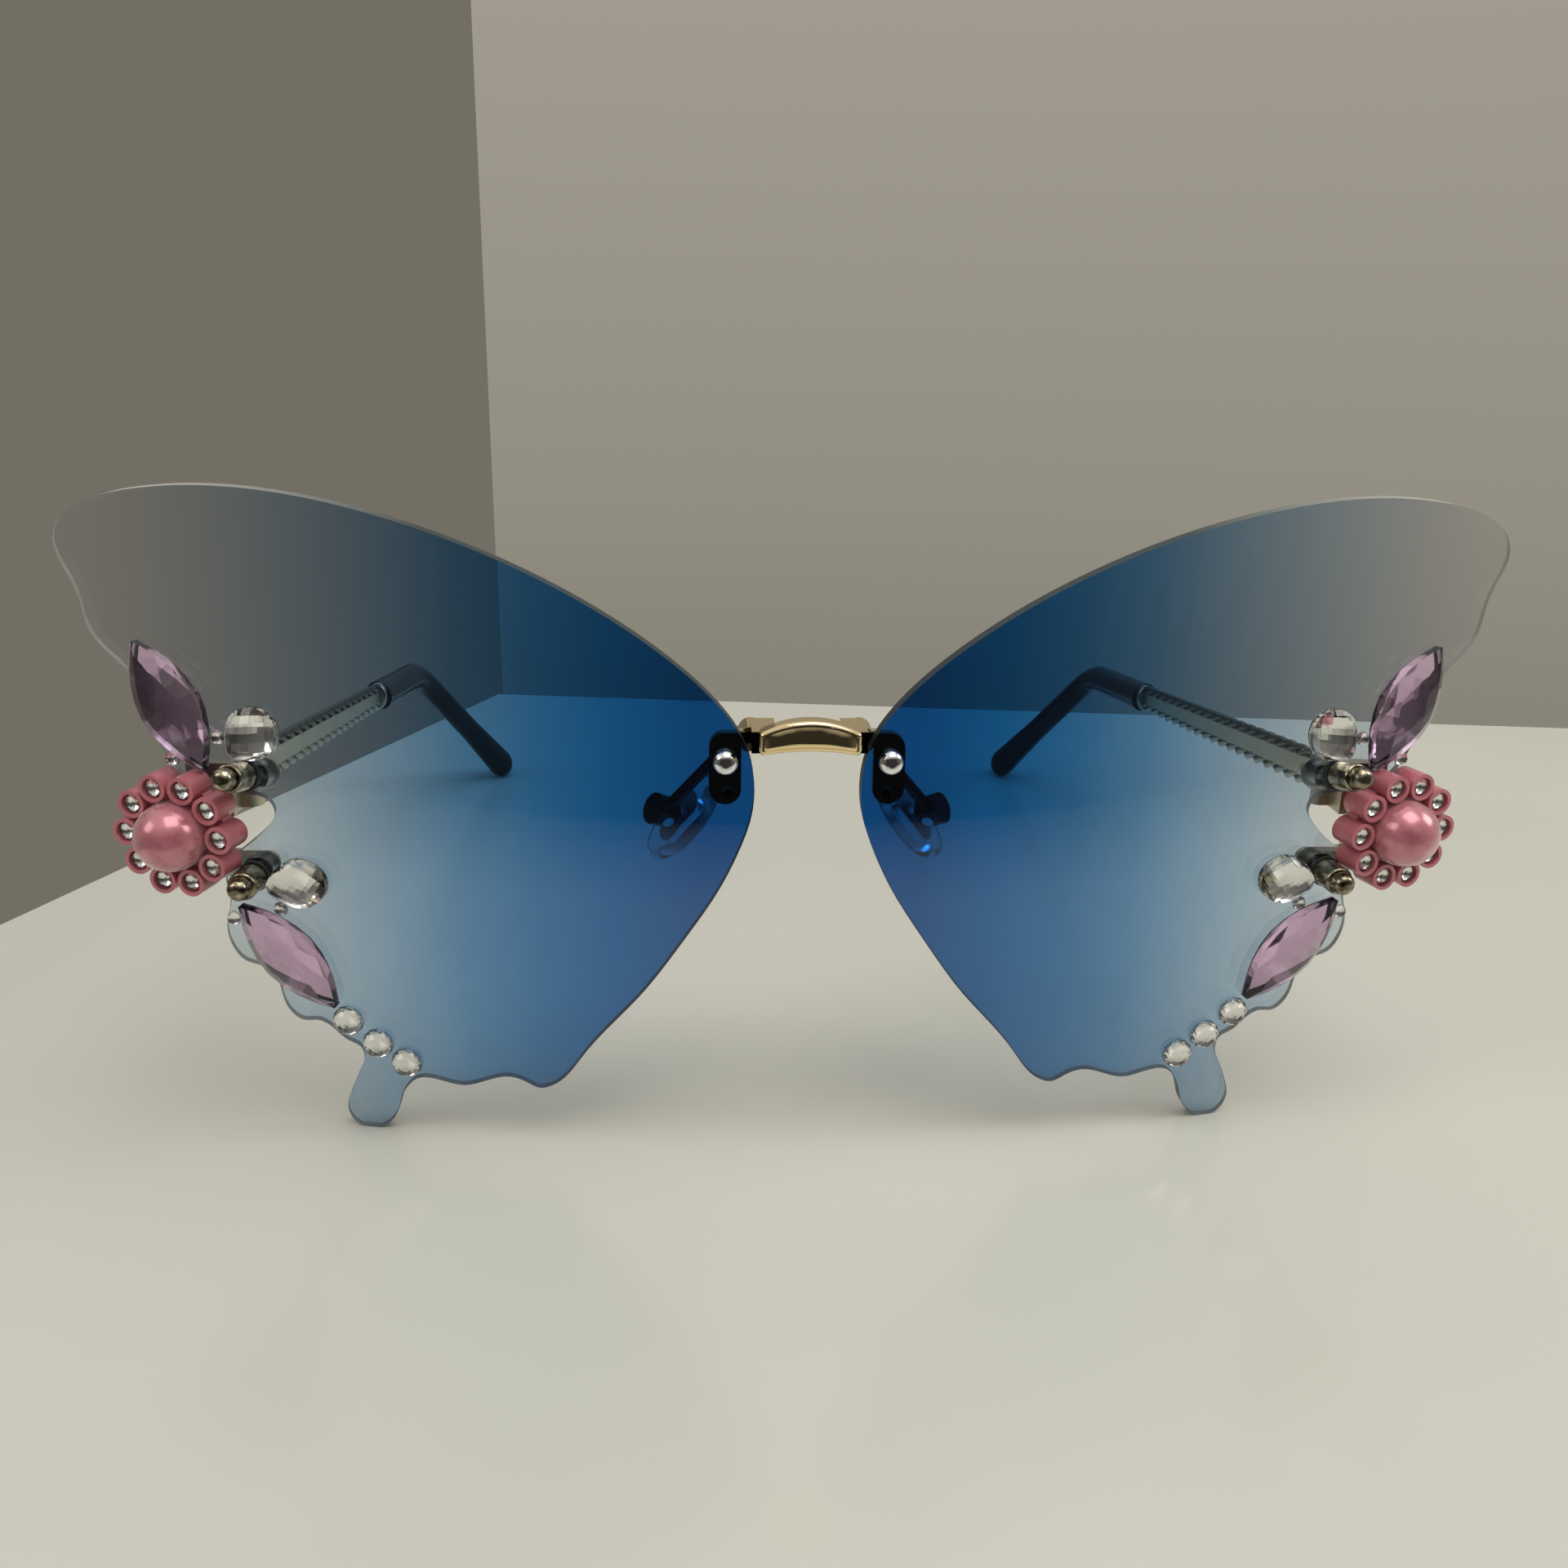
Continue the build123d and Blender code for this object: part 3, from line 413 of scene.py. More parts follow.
# %% Ground edge
EDGE_TURN = 0.6
EDGE_NEAR_NOSE, EDGE_AT_TIPS = (0.02, 0.035, 0.04), (0.62, 0.62, 0.56)
place = tree.nodes.new("ShaderNodeTexCoord").outputs
radius = vector_sum(tree, "SUBTRACT", place["Object"], DOME_CENTRE)["Vector"]
along_radius = vector_sum(tree, "NORMALIZE", radius)["Vector"]
facing = vector_sum(tree, "DOT_PRODUCT", along_radius, place["Normal"])["Value"]
edge = calculate(tree, "LESS_THAN", calculate(tree, "ABSOLUTE", facing), EDGE_TURN)
frosted = spread(tree, outwards, 0, 1, start=0.50, end=0.95)
frost = colour_blend(tree, frosted, EDGE_NEAR_NOSE, EDGE_AT_TIPS)
drive(principled, Base_Color=colour_blend(tree, edge, tint, frost),
      Roughness=spread(tree, edge, 0.0, 0.50), Coat_Weight=spread(tree, edge, 1.0, 0.0),
      Transmission_Weight=spread(tree, edge, 1.0, 0.3))
dress(lens_tint, "lens")
print("lenses in", lens_tint.name)

# %% [markdown]
# ## Plastics and rubber
# The sleeves on the temple ends are glossy black, the washers dull black, and the nose pads
# clear silicone. The screws sit in bushes of clear plastic, the outer ones smoky. A milky
# look could come from a paler colour, but clear parts pass light instead of scattering it,
# so their haze is roughness.

# %% Black parts
black_gloss, tree, principled = shader("black_gloss", Base_Color=(0.006, 0.006, 0.008, 1), IOR=1.32)
drive(principled, Roughness=drift(tree, 0.16, 0.32, scale=320, detail=4))
bump(tree, principled, noise(tree, 700, detail=2), height=0.000006, strength=0.4)
black_dull, tree, principled = shader("black_dull", Base_Color=(0.02, 0.02, 0.022, 1))
drive(principled, Roughness=drift(tree, 0.45, 0.7, scale=900))
dress(black_gloss, "temple_tip")
dress(black_dull, "end_washers")
print("black parts in", black_gloss.name, "and", black_dull.name)


# %% Clear parts
def clear_material(name, colour, ior, haze, scale):
    """A clear plastic; haze is the lowest and the highest roughness that it drifts between."""
    material, tree, principled = shader(name, Base_Color=(*colour, 1), IOR=ior,
                                        Transmission_Weight=1.0)
    drive(principled, Roughness=drift(tree, *haze, scale))
    return material


clear_plastic = clear_material("clear_plastic", (0.80, 0.82, 0.82), ior=1.45,
                               haze=(0.08, 0.22), scale=500)
smoky_plastic = clear_material("smoky_plastic", (0.45, 0.46, 0.46), ior=1.45,
                               haze=(0.10, 0.24), scale=500)
silicone = clear_material("silicone", (0.93, 0.95, 0.96), ior=1.41, haze=(0.08, 0.20), scale=400)
dress(clear_plastic, "bridge_bush")
dress(smoky_plastic, "end_bushes")
dress(silicone, "nose_pad")
print("clear parts in", clear_plastic.name, smoky_plastic.name, silicone.name)

# %% [markdown]
# ## Flowers
# The petals are one moulding in rose plastic. An opaque shader would look like chalk. The
# plastic is satin and a little translucent, so some light goes in and comes out nearby,
# redder: that is the subsurface part of the shader. The pearl is the same rose under a pearly
# coat, which takes a broad sheen and a sharp highlight at once.

# %% Petals
petal_rose, tree, principled = shader("petal_rose", Subsurface_Weight=0.25, Coat_Weight=0.5,
                                      Coat_Roughness=0.12,
                                      Subsurface_Radius=(0.0012, 0.0004, 0.0004))
cloud = noise(tree, 420)
roses = ramp(tree, cloud, [(0.3, (0.43, 0.120, 0.140)), (0.7, (0.51, 0.160, 0.180))])
drive(principled, Base_Color=roses, Roughness=spread(tree, cloud, 0.28, 0.42))
dress(petal_rose, "flower")
print("petals in", petal_rose.name)

# %% Pearls
pearl_rose, tree, principled = shader("pearl_rose", Metallic=0.35, Coat_Weight=0.9,
                                      Coat_Roughness=0.12, Sheen_Weight=0.3)
cloud = noise(tree, 600, detail=4)
roses = ramp(tree, cloud, [(0.35, (0.44, 0.130, 0.155)), (0.65, (0.54, 0.190, 0.220))])
drive(principled, Base_Color=roses, Roughness=spread(tree, cloud, 0.22, 0.34))
dress(pearl_rose, "pearl")
print("pearls in", pearl_rose.name)

# %% [markdown]
# ## Temple ropes
# Each temple is a flat bar with a rope of two twisted strands along its upper and lower edge. The
# CAD rods only mark their place. A rope could be a bent copy of one turn, but its section is
# so plain that a loft is simpler: the outline of two touching strands is set down ring after
# ring along the bar, turned a little further each time, and the rings are joined. The faces
# between the strands get a near-black metal as painted shade, and the upper rope is given a
# darker copy of the rope metal, painted shade over the whole rope.

# %% Rope sizes
TEMPLE_START = Vector((0.063008, LENS_FRONT + 0.0160109, 0.0388872))
TEMPLE_BEND = TEMPLE_START + Vector((-0.0016, 0.10015, -0.0127))
ROPE_START, ROPE_END = 0.0004, 0.070
ROPE_OUTER, STRAND = 0.00080, 0.00042
ROPE_PITCH = 0.0064
ROPE_OFFSETS = (0.00172, 0.00134)
RINGS, POINTS = 480, 20
along = (TEMPLE_BEND - TEMPLE_START).normalized()
outward = along.cross(Vector((0, 0, 1))).normalized()
upward = outward.cross(along).normalized()
print("turns in each rope:", round((ROPE_END - ROPE_START) / ROPE_PITCH, 1))


# %% Rope shape
def rope_section(angle):
    """Radius of two touching round strands, at an angle from the line through their middles."""
    apart = ROPE_OUTER - STRAND
    return apart * abs(math.cos(angle)) + math.sqrt(STRAND ** 2 - (apart * math.sin(angle)) ** 2)


def twist_at(ring):
    """How far the strands have turned at a ring."""
    return 2 * math.pi * ring / RINGS * (ROPE_END - ROPE_START) / ROPE_PITCH


def rope_points(side, edge):
    """The points of one rope, ring by ring; side and edge are 1 or -1."""
    front = TEMPLE_START + along * ROPE_START + upward * edge * ROPE_OFFSETS[0]
    back = TEMPLE_START + along * ROPE_END + upward * edge * ROPE_OFFSETS[1]
    points = []
    for ring in range(RINGS + 1):
        centre = front.lerp(back, ring / RINGS)
        for point in range(POINTS):
            angle = 2 * math.pi * point / POINTS
            radius = rope_section(angle - twist_at(ring))
            place = centre + (outward * math.cos(angle) + upward * math.sin(angle)) * radius
            points.append((place.x * side, place.y, place.z))
    return points


print("rope radius in mm:", [round(rope_section(turn) * 1000, 2) for turn in (0, math.pi / 2)])

# %% Rope meshes
GROOVE = 0.5


def in_groove(ring, point):
    """Whether a face of the rope lies between its two strands, where the metal is darkened as
    painted shade.
    """
    return abs(math.cos(2 * math.pi * (point + 0.5) / POINTS - twist_at(ring + 0.5))) < GROOVE


def rope_mesh(name, side, edge, strand_metal):
    """A twisted rope along one edge of a temple, closed at both ends."""
    ends = [[ring * POINTS + point for point in range(POINTS)] for ring in (0, RINGS)]
    walls = [(ring * POINTS + point, ring * POINTS + (point + 1) % POINTS,
              (ring + 1) * POINTS + (point + 1) % POINTS, (ring + 1) * POINTS + point)
             for ring in range(RINGS) for point in range(POINTS)]
    mesh = bpy.data.meshes.new(name)
    mesh.from_pydata(rope_points(side, edge), [], ends + walls)
    shape = bmesh.new()
    shape.from_mesh(mesh)
    bmesh.ops.recalc_face_normals(shape, faces=shape.faces)
    shape.faces.ensure_lookup_table()
    for number, face in enumerate(shape.faces[len(ends):]):
        face.smooth = True
        face.material_index = int(in_groove(*divmod(number, POINTS)))
    shape.to_mesh(mesh)
    shape.free()
    mesh.materials.append(strand_metal)
    mesh.materials.append(groove_painted_shade)
    return mesh


print("faces in each rope:", RINGS * POINTS + 2)

# %% Ropes as pieces
for side_name, side in zip(SIDES, (1, -1)):
    # The upper ropes take the darker metal, as painted shade.
    for edge_name, edge, strand_metal in (("upper", 1, rope_painted_shade), ("lower", -1, rope_gold)):
        name = "twisted_rope_" + edge_name + "_" + side_name
        rope = bpy.data.objects.new(name, rope_mesh(name, side, edge, strand_metal))
        bpy.context.collection.objects.link(rope)
        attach(rope, "temple_" + side_name)
        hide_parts("rope_" + edge_name + "_" + side_name)

# %% [markdown]
# ## Stone materials
# The stones are cast acrylic, clear or lilac, with silver foil behind. Light and dark lozenges
# could be painted on them, but painted ones don't move with the eye. Here light goes in through
# a facet, meets the foil and comes out through another facet, so each facet mirrors its own
# part of the room: that is the sparkle. The body is a clear shader, and the foil a metal plate
# that is modelled inside it.


# %% Stone materials
def stone_material(name, darkest, lightest):
    """A clear stone whose colour drifts a little between two colours."""
    material, tree, principled = shader(name, IOR=1.53, Transmission_Weight=1.0)
    cloud = noise(tree, 300, detail=2)
    drive(principled, Base_Color=ramp(tree, cloud, [(0.3, darkest), (0.7, lightest)]),
          Roughness=drift(tree, 0.0, 0.03, scale=500, detail=2))
    return material


clear_stone = stone_material("clear_stone", (0.93, 0.93, 0.91), (0.98, 0.98, 0.97))
lilac_stone = stone_material("lilac_stone", (0.63, 0.43, 0.63), (0.70, 0.49, 0.69))
foil = metal("stone_foil", (0.95, 0.95, 0.94), rough=0.05, wear=0.06, dull=0.95)
print("stone materials:", clear_stone.name, lilac_stone.name, foil.name)

# %% [markdown]
# ## Outlines and places of the stones
# A stone is drawn flat, one unit from its middle to its edge, and then set down on the lens by
# a matrix: its own X follows a direction of the front view, its Z looks straight off the dome.
# It could be moved and turned by eye, but the matrix makes both sides alike.

# %% Stone outlines
ARC_POWER, POINTED = 1.9, 0.999
SHOULDER, NARROWING = -0.3, 0.5


def round_ring(count):
    """Points on a circle."""
    angles = [2 * math.pi * n / count for n in range(count)]
    return [(math.cos(angle), math.sin(angle)) for angle in angles]


def marquise_ring(count):
    """Two arcs that meet in points; x is along the stone."""
    return [(x, math.copysign(1 - abs(x) ** ARC_POWER, y) if abs(x) < POINTED else 0.0)
            for x, y in round_ring(count)]


def teardrop_ring(count):
    """Round at one end and narrower at the other."""
    ring = []
    for x, y in round_ring(count):
        past = (x - SHOULDER) / (1 - SHOULDER)
        ring.append((x, y * (1.0 if x < SHOULDER else 1 - past ** 2 * NARROWING)))
    return ring


def between(ring, scale):
    """The ring at another size, its points half a step further round."""
    after = ring[1:] + ring[:1]
    return [((a[0] + b[0]) * scale / 2, (a[1] + b[1]) * scale / 2) for a, b in zip(ring, after)]


def sized(ring, scale):
    """The ring at another size."""
    return [(x * scale, y * scale) for x, y in ring]


print("narrow end of a teardrop:", round(1 - NARROWING, 2), "of the circle")

# %% Places on a lens
GLUE = 0.00003


def lens_place(x, z, dx, dz, stand=GLUE):
    """A place on the lens front: a matrix with X along (dx, dz) of the front view, Z outwards."""
    depth = math.sqrt(DOME_RADIUS ** 2 - x ** 2 - (z - DOME_CENTRE.z) ** 2)
    outward = Vector((x, -depth, z - DOME_CENTRE.z)).normalized()
    along = Vector((dx, 0, dz))
    along = (along - outward * along.dot(outward)).normalized()
    side = outward.cross(along)
    point = DOME_CENTRE + outward * (DOME_RADIUS + stand)
    return Matrix.Translation(point) @ Matrix((along, side, outward)).transposed().to_4x4()


def near_flower(shares, side):
    """A point of the front view, from its shares of the flower's radius round its centre."""
    return side * (FLOWER_X + shares[0] * FLOWER_RADIUS), FLOWER_Z + shares[1] * FLOWER_RADIUS


flower_looks = lens_place(FLOWER_X, FLOWER_Z, dx=1, dz=0).col[2][:3]
print("left flower's outward direction:", [round(v, 3) for v in flower_looks])

# %% [markdown]
# ## Large stones
# The leaves and drops have a checkerboard cut: their domed front is a net of flat lozenges. A
# dome of few faces would show rings instead. So they are cut here as a cutter does it, one
# flat after another: the back, the upright sides, a slope above each side, and one flat
# where each point of the net touches an imagined dome. What is left of a flat once all the
# others have taken their share is a facet, so the facets meet in exact, sharp edges. The
# foil is a thin plate inside.

# %% Grinding a flat
PLENTY = 30.0


def ground(flat, others):
    """The corners of a flat once all the other planes have taken their share of it.

    They go round against the clock as seen from outside, so the facet looks outwards: glass
    that looks inwards would be drawn as a mirror.
    """
    point, normal = flat
    side = normal.orthogonal().normalized() * PLENTY
    up = normal.cross(side)
    corners = [point + side + up, point - side + up, point - side - up, point + side - up]
    for other, away in others:
        kept = []
        for here, there in zip(corners, corners[1:] + corners[:1]):
            a, b = (here - other).dot(away), (there - other).dot(away)
            if a <= 0:
                kept.append(here)
            if a * b < 0:
                kept.append(here.lerp(there, a / (a - b)))
        corners = kept
        if len(corners) < 3:
            return []
    return corners


print("each flat starts", 2 * PLENTY, "mm wide")

# %% Planes of a checkerboard cut
GIRDLE, SLOPE_TILT = 0.45, 1.3
NET_REACH = 1.1


def planes(outline, half_length, half_width, height, step, fall):
    """The flats of a stone: its back, its upright sides, the slopes above them and the net."""
    flats = [(Vector((0, 0, 0)), Vector((0, 0, -1)))]
    for (x0, y0), (x1, y1) in zip(outline, outline[1:] + outline[:1]):
        away = Vector((y1 - y0, x0 - x1, 0)).normalized()
        slope = (away + Vector((0, 0, SLOPE_TILT))).normalized()
        flats += [(Vector((x0, y0, 0)), away), (Vector((x0, y0, height * GIRDLE)), slope)]
    reach = math.ceil(1 / step)
    for i in range(-reach, reach + 1):
        for j in range(-reach, reach + 1):
            u, v = i * step, j * step
            if (i + j) % 2 == 0 and u * u + v * v < NET_REACH:
                peak = height * (1 - fall * (u * u + v * v))
                lean = 2 * height * fall * u / half_length, 2 * height * fall * v / half_width
                flats.append((Vector((u * half_length, v * half_width, peak)),
                              Vector((*lean, 1)).normalized()))
    return flats


print("upright sides reach", GIRDLE, "of a stone's height")


# %% Solid blocks
def block(shape, ring, low, high):
    """An upright block on an outline; its faces are returned."""
    rows = [[shape.verts.new((x, y, z)) for x, y in ring] for z in (low, high)]
    made = [shape.faces.new(rows[0][::-1]), shape.faces.new(rows[1])]
    count = len(ring)
    for n in range(count):
        m = (n + 1) % count
        made.append(shape.faces.new((rows[0][n], rows[0][m], rows[1][m], rows[1][n])))
    return made


print("helper for blocks:", block.__name__)

# %% Checkerboard cut
FOIL_SIZE, FOIL_LOW, FOIL_HIGH = 0.96, 0.05, 0.11
STONE_SLOT, FOIL_SLOT = 0, 1
CLOSE = 0.01


def checkerboard(ring, size, step, fall):
    """A checkerboard-cut stone in mm, with foil inside.

    step is the pitch of the net, and fall how far the dome drops to its rim, as shares.
    """
    length, width, height = (value * 1000 for value in size)
    outline = [(x * length / 2, y * width / 2) for x, y in ring]
    flats = planes(outline, length / 2, width / 2, height, step, fall)
    stone = bmesh.new()
    for number, flat in enumerate(flats):
        corners = ground(flat, flats[:number] + flats[number + 1:])
        if corners:
            stone.faces.new([stone.verts.new(corner) for corner in corners])
    bmesh.ops.remove_doubles(stone, verts=stone.verts, dist=CLOSE)
    for face in block(stone, sized(outline, FOIL_SIZE), FOIL_LOW, FOIL_HIGH):
        face.material_index = FOIL_SLOT
    return stone


print("foil lies", FOIL_LOW, "to", FOIL_HIGH, "mm above the back of a stone")

# %% [markdown]
# ## Small stones
# The round stones are cut in rows of triangles that climb from the girdle to a small table,
# and their foil is a shallow faceted bowl, which makes the star inside. They could be cut flat
# by flat too, but rings of points, each half a step on from the one below, give such rows
# directly.


# %% Rows of facets
def facets(shape, place, size, rings, slot):
    """Rows of triangles between rings of points; the lowest row is an upright wall."""
    rows = []
    for ring, height in rings:
        points = [Vector((x * size[0] / 2, y * size[1] / 2, height * size[2])) for x, y in ring]
        rows.append([shape.verts.new(place @ point) for point in points])
    count = len(rows[0])
    for step, (lower, upper) in enumerate(zip(rows, rows[1:])):
        for n in range(count):
            m = (n + 1) % count
            if step == 0:
                made = [(lower[n], lower[m], upper[m], upper[n])]
            elif step % 2:
                made = [(lower[n], lower[m], upper[n]), (lower[m], upper[m], upper[n])]
            else:
                made = [(lower[n], lower[m], upper[m]), (lower[n], upper[m], upper[n])]
            for corners in made:
                shape.faces.new(corners).material_index = slot
    for row in (rows[0], rows[-1]):
        shape.faces.new(row).material_index = slot


print("helper for rows:", facets.__name__)

# %% Groups of small stones
# Each pair is a ring's size, as a share of the stone's outline, and its height.
WALL = ((1.0, 0.06), (1.0, 0.22))
CLIMB = ((0.93, 0.52), (0.66, 0.84), (0.36, 1.0))
BOWL_SIZE, BOWL_BACK, BOWL_MIDDLE = 0.95, 0.09, (0.10, 0.11)


def levels(ring, wall, climb):
    """Rings for facets: (size, height) pairs, every other one of the climb half a step on."""
    turned = [between if n % 2 == 0 else sized for n in range(len(climb))]
    return ([(sized(ring, size), height) for size, height in wall]
            + [(turn(ring, size), height) for turn, (size, height) in zip(turned, climb)])


def small_stones(places, ring, size, bowl_rim):
    """A group of like round stones, each with a foil bowl whose rim is a share of the depth."""
    shape = bmesh.new()
    body = levels(ring, WALL, CLIMB)
    bowl = levels(ring, ((BOWL_SIZE, BOWL_BACK), (BOWL_SIZE, bowl_rim)), (BOWL_MIDDLE,))
    for place in places:
        facets(shape, place, size, body, STONE_SLOT)
        facets(shape, place, size, bowl, FOIL_SLOT)
    bmesh.ops.recalc_face_normals(shape, faces=shape.faces)
    return shape


print("rows of facets on a small stone:", len(CLIMB))

# %% [markdown]
# ## Setting the stones
# Every group of like stones becomes one piece, which replaces the plainer stones of the CAD
# model. Their places could be given in metres. They are written as shares of the flower's
# radius, counted from its centre, because the stones spread out from the flower like leaves.


# %% Setting a group
def set_stones(name, side_name, shape, material, slot, replaced):
    """Turns a cut shape into a piece that rides on the front and replaces a CAD node."""
    mesh = bpy.data.meshes.new(name)
    shape.to_mesh(mesh)
    shape.free()
    mesh.materials.append(material)
    mesh.materials.append(foil)
    piece = bpy.data.objects.new(name + "_" + side_name, mesh)
    bpy.context.collection.objects.link(piece)
    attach(piece, "front")
    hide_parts(replaced + "_" + side_name)


print("helper for setting:", set_stones.__name__)

# %% Sizes of leaves and drops
TO_METRES = Matrix.Scale(0.001, 4)
# Which one, its two ends, and its length, width and height; a drop has its middle and a point
# that its narrow end looks at.
MARQUISES = (("upper", (0.615, 2.892), (-0.444, 0.964), (0.015, 0.0070, 0.0026)),
             ("lower", (-2.175, -2.872), (-0.706, -1.237), (0.015, 0.0065, 0.0026)))
TEARDROPS = (("upper", (-1.154, 1.549), (-0.50, 0.87), (0.0066, 0.0057, 0.0019)),
             ("lower", (-1.673, -0.801), (-0.90, -0.971), (0.0070, 0.0056, 0.0019)))
LEAF_SIDES, LEAF_STEP, LEAF_FALL = 24, 0.28, 0.45
DROP_SIDES, DROP_STEP, DROP_FALL = 28, 0.23, 0.60
print("leaves:", 2 * len(MARQUISES), "drops:", 2 * len(TEARDROPS))

# %% Leaves and drops
for side_name, side in zip(SIDES, (1, -1)):
    for which, start, end, size in MARQUISES:
        (x0, z0), (x1, z1) = near_flower(start, side), near_flower(end, side)
        leaf = checkerboard(marquise_ring(LEAF_SIDES), size, LEAF_STEP, LEAF_FALL)
        leaf.transform(lens_place((x0 + x1) / 2, (z0 + z1) / 2, x1 - x0, z1 - z0) @ TO_METRES)
        set_stones("cut_marquise_" + which, side_name, leaf, lilac_stone,
                   "purple_stone", "marquise_" + which)
    for which, centre, tip, size in TEARDROPS:
        (x0, z0), (x1, z1) = near_flower(centre, side), near_flower(tip, side)
        drop = checkerboard(teardrop_ring(DROP_SIDES), size, DROP_STEP, DROP_FALL)
        drop.transform(lens_place(x0, z0, x1 - x0, z1 - z0) @ TO_METRES)
        set_stones("cut_teardrop_" + which, side_name, drop, clear_stone,
                   "clear_stone", "teardrop_" + which)

# %% Sizes of small stones
ROUNDS = ((-2.277, -3.176), (-2.733, -3.563), (-3.176, -3.889))
SEEDS = ((0.171, 1.081), (-0.614, 1.476), (-0.557, -1.509), (-1.354, -1.268))
# The name, the places, the number of sides, and the length, width and height.
GROUPS = (("round", ROUNDS, 12, (0.0035, 0.0035, 0.0015)),
          ("seed", SEEDS, 8, (0.0016, 0.0016, 0.0008)))
CUP_RING, CUP_COUNT, CUP_FLOOR = 0.00535, 10, 0.00253
CUP_STONE_SIDES, CUP_STONE_SIZE = 12, (0.00218, 0.00218, 0.00105)
FLAT_BOWL, DEEP_BOWL = 0.21, 0.36
print("small stones:", 2 * (len(ROUNDS) + len(SEEDS) + CUP_COUNT))

# %% Round stones, seeds and petal stones
for side_name, side in zip(SIDES, (1, -1)):
    for name, shares, sides, size in GROUPS:
        places = [lens_place(*near_flower(share, side), dx=1, dz=0) for share in shares]
        group = small_stones(places, round_ring(sides), size, FLAT_BOWL)
        set_stones("cut_" + name + "_stones", side_name, group, clear_stone,
                   "clear_stone", name + "_stones")
    flower = lens_place(side * FLOWER_X, FLOWER_Z, dx=1, dz=0, stand=0)
    places = []
    for number in range(CUP_COUNT):
        angle = math.pi + 2 * math.pi * number / CUP_COUNT
        cup = Vector((side * CUP_RING * math.cos(angle), CUP_RING * math.sin(angle), CUP_FLOOR))
        places.append(flower @ Matrix.Translation(cup))
    group = small_stones(places, round_ring(CUP_STONE_SIDES), CUP_STONE_SIZE, DEEP_BOWL)
    set_stones("cut_petal_stones", side_name, group, clear_stone, "clear_stone", "flower_stones")

# %% [markdown]
# ## Table
# The sunglasses stand on a smooth white table top that ends at two walls: a lighter one behind
# and a darker one at the left. A plane would do from the front, but from the side it would
# look as thin as paper, so the top is a slab, cut to the floor plan of that corner. The
# lenses mirror it in their lower halves. It ends just short of the camera, and its last few
# centimetres fade to dark, so that what they mirror ends softly.

# %% Floor plan of the table
CORNER = Vector((-0.0599, LENS_FRONT + 0.2021))
ALONG_BACK, ALONG_LEFT = Vector((0.9936, -0.1132)), Vector((-0.3829, -0.9238))
TABLE_RIGHT, TABLE_FRONT = 0.62, LENS_FRONT - 0.118
back_right = CORNER + ALONG_BACK * (TABLE_RIGHT - CORNER.x) / ALONG_BACK.x
front_left = CORNER + ALONG_LEFT * (TABLE_FRONT - CORNER.y) / ALONG_LEFT.y
plan = [CORNER, front_left, Vector((TABLE_RIGHT, TABLE_FRONT)), back_right]
print("table is", round((TABLE_RIGHT - front_left.x) * 1000), "mm wide at its front")

# %% Slab
TABLE_TOP, TABLE_BOTTOM = -0.0001, -0.0201
ROUNDED_EDGE = 0.001
shape = bmesh.new()
block(shape, [(point.x, point.y) for point in plan], TABLE_BOTTOM, TABLE_TOP)
bmesh.ops.bevel(shape, geom=list(shape.edges), offset=ROUNDED_EDGE, segments=3, affect="EDGES")
bmesh.ops.recalc_face_normals(shape, faces=shape.faces)
mesh = bpy.data.meshes.new("table")
shape.to_mesh(mesh)
shape.free()
table = bpy.data.objects.new("table", mesh)
bpy.context.collection.objects.link(table)
table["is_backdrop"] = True
print("table faces:", len(mesh.polygons))

# %% White of the table
SHADED_FRONT = 0.058
SHADE = (0.10, 0.10, 0.09)
table_white, tree, principled = shader("table_white", IOR=1.5)
cloud = noise(tree, 8, detail=4)
white = ramp(tree, cloud, [(0.3, (0.54, 0.54, 0.475)), (0.7, (0.58, 0.58, 0.510))])
deep = axes(tree, "Object")[1]
shaded = spread(tree, deep, 1, 0, start=TABLE_FRONT, end=TABLE_FRONT + SHADED_FRONT)
drive(principled, Base_Color=colour_blend(tree, shaded, white, SHADE),
      Roughness=drift(tree, 0.14, 0.24, scale=60, detail=4))
mesh.materials.append(table_white)
print("the last", round(SHADED_FRONT * 1000), "mm of the table are in shade")

# %% [markdown]
# ## Room
# Walls could be built, but they would stand in the way of a view from behind. So beyond the
# table the room is only a colour for each direction. The camera, the glass and the metal all
# see the same two walls, the dim room behind the camera and a brighter ceiling. In a mirror
# the room behind the camera is darker, or the lenses would lose their deep blue. The soft
# light that falls on the object is an even pale colour.

# %% Walls
BACK_WALL = [(0.0, (0.225, 0.207, 0.168)), (0.35, (0.290, 0.268, 0.222)),
             (1.0, (0.360, 0.335, 0.280))]
LEFT_WALL = (0.172, 0.157, 0.129)
WALL_TURN = 0.1388
world = bpy.context.scene.world or bpy.data.worlds.new("room")
bpy.context.scene.world = world
world.use_nodes = True
tree = world.node_tree
tree.nodes.clear()
across, deep, high = axes(tree, "Generated")
back_wall = ramp(tree, spread(tree, high, 0, 1, start=-0.30, end=0.20), BACK_WALL)
leftness = calculate(tree, "ADD", across, calculate(tree, "MULTIPLY", deep, WALL_TURN))
at_left = calculate(tree, "LESS_THAN", leftness, 0)
walls = colour_blend(tree, at_left, back_wall, LEFT_WALL)
print("wall colours done")

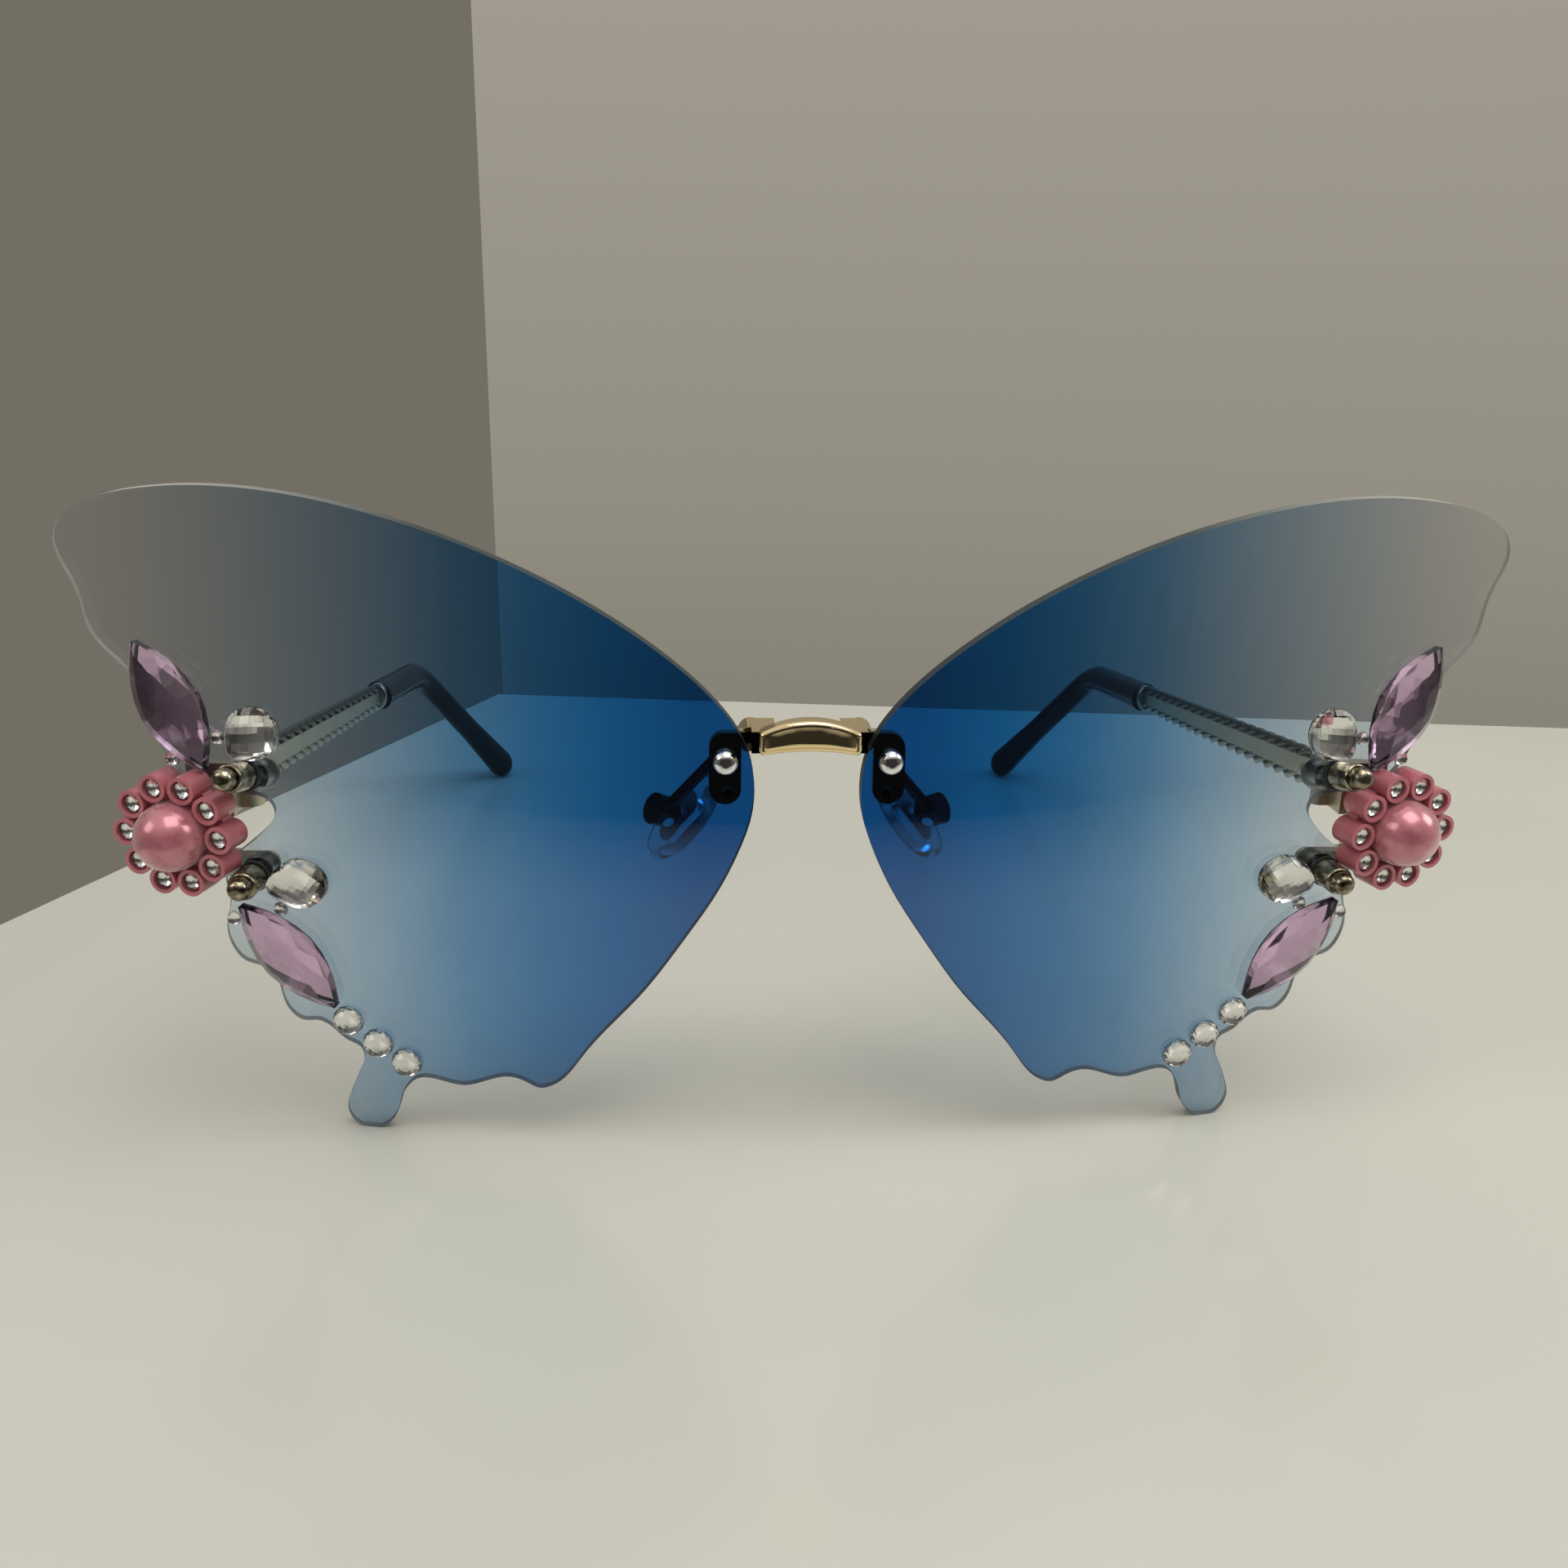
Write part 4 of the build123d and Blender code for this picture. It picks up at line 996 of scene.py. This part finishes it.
# %% Behind the camera, and above
DARK_MIDDLE, DIM_SIDES = (0.032, 0.030, 0.028), (0.115, 0.110, 0.102)
SEEN_DIRECTLY = (0.30, 0.28, 0.24)
CEILING = (0.72, 0.71, 0.68)
path = tree.nodes.new("ShaderNodeLightPath").outputs
sideways = spread(tree, calculate(tree, "ABSOLUTE", across), 0, 1, start=0.40, end=0.85)
mirrored = colour_blend(tree, sideways, DARK_MIDDLE, DIM_SIDES)
in_a_mirror = calculate(tree, "MINIMUM", path["Glossy Depth"], 1.0)
behind = colour_blend(tree, in_a_mirror, SEEN_DIRECTLY, mirrored)
room = colour_blend(tree, spread(tree, deep, 1, 0, start=-0.30, end=0.05), walls, behind)
room = colour_blend(tree, spread(tree, high, 0, 1, start=0.35, end=0.75), room, CEILING)
print("room colours done")

# %% Light of the room
AMBIENT_COLOUR, AMBIENT_STRENGTH = (1.0, 0.98, 0.95), 0.54
seen = tree.nodes.new("ShaderNodeBackground")
tree.links.new(room, seen.inputs["Color"])
ambient = tree.nodes.new("ShaderNodeBackground")
ambient.inputs["Color"].default_value = (*AMBIENT_COLOUR, 1)
ambient.inputs["Strength"].default_value = AMBIENT_STRENGTH
shown = path["Is Camera Ray"]
for ray in ("Is Transmission Ray", "Is Glossy Ray"):
    shown = calculate(tree, "MAXIMUM", shown, path[ray])
mix = tree.nodes.new("ShaderNodeMixShader")
out = tree.nodes.new("ShaderNodeOutputWorld")
tree.links.new(shown, mix.inputs[0])
tree.links.new(ambient.outputs["Background"], mix.inputs[1])
tree.links.new(seen.outputs["Background"], mix.inputs[2])
tree.links.new(mix.outputs["Shader"], out.inputs["Surface"])
print("ambient light:", AMBIENT_STRENGTH)

# %% [markdown]
# ## Lamps
# Three large square lamps, above, to the left and to the right, give the soft shadows of a bright
# room, where a sun lamp would give hard ones. Their sizes set how soft the shadows are, and
# their powers are low enough that the white table shows as light grey, as it does in the
# photograph.

# %% Lamps
LAMP_COLOUR = (1.0, 0.97, 0.93)


def lamp(name, place, target, size, power):
    """A square soft lamp that looks at a point."""
    data = bpy.data.lights.new(name, "AREA")
    data.size = size
    data.energy = power
    data.color = LAMP_COLOUR
    holder = bpy.data.objects.new(name, data)
    holder.location = place
    holder.rotation_euler = (Vector(target) - Vector(place)).to_track_quat("-Z", "Y").to_euler()
    bpy.context.collection.objects.link(holder)


lamp("lamp_top", place=(0.12, -0.25, 0.75), target=(0, 0, 0.03), size=0.5, power=2.6)
lamp("lamp_left", place=(-0.75, -0.35, 0.55), target=(0, 0, 0.04), size=0.4, power=1.35)
lamp("lamp_right", place=(0.7, -0.1, 0.5), target=(0, 0, 0.04), size=0.35, power=1.9)

# %% [markdown]
# ## Camera
# The camera could be set by eye. Its place, turn and focal length were worked out from the
# photograph instead, from pairs of points that mirror each other on the two lenses. It
# stands close, a little to the left, and looks down at 18 degrees.

# %% Camera
YAW, PITCH, ROLL = (math.radians(a) for a in (-3.568, -18.319, -1.067))
CAMERA_PLACE = Vector((-0.011157, LENS_FRONT - 0.139449, 0.089954))
PHOTO_WIDTH, FOCAL_PIXELS, SENSOR = 1920, 1768.54, 36
turn = Matrix.Rotation(YAW, 3, "Z") @ Matrix.Rotation(PITCH, 3, "X") @ Matrix.Rotation(ROLL, 3, "Y")
right, forward, up = turn.col[0], turn.col[1], turn.col[2]
camera = bpy.data.objects.new("camera", bpy.data.cameras.new("camera"))
camera.data.lens = SENSOR * FOCAL_PIXELS / PHOTO_WIDTH
camera.data.clip_start = 0.01
looking = Matrix((right, up, -forward)).transposed().to_4x4()
camera.matrix_world = Matrix.Translation(CAMERA_PLACE) @ looking
bpy.context.collection.objects.link(camera)
bpy.context.scene.camera = camera
bpy.context.scene.view_settings.view_transform = "Standard"
print("camera focal length:", round(camera.data.lens, 2), "mm")

# %% [markdown]
# ## Size
# Ropes and stones that are finer than the CAD model's must not make the sunglasses grow. The
# growth could be judged by eye, but the two boxes, before and after dressing, say it in
# numbers: the box of the CAD model is printed when it is loaded, and the growth here.

# %% Finish
visual_box = [list(corner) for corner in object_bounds()]
growth = [[v - c for v, c in zip(*corners)] for corners in zip(visual_box, cad_box)]
print("growth in mm:", [[round(v * 1000, 2) for v in corner] for corner in growth])
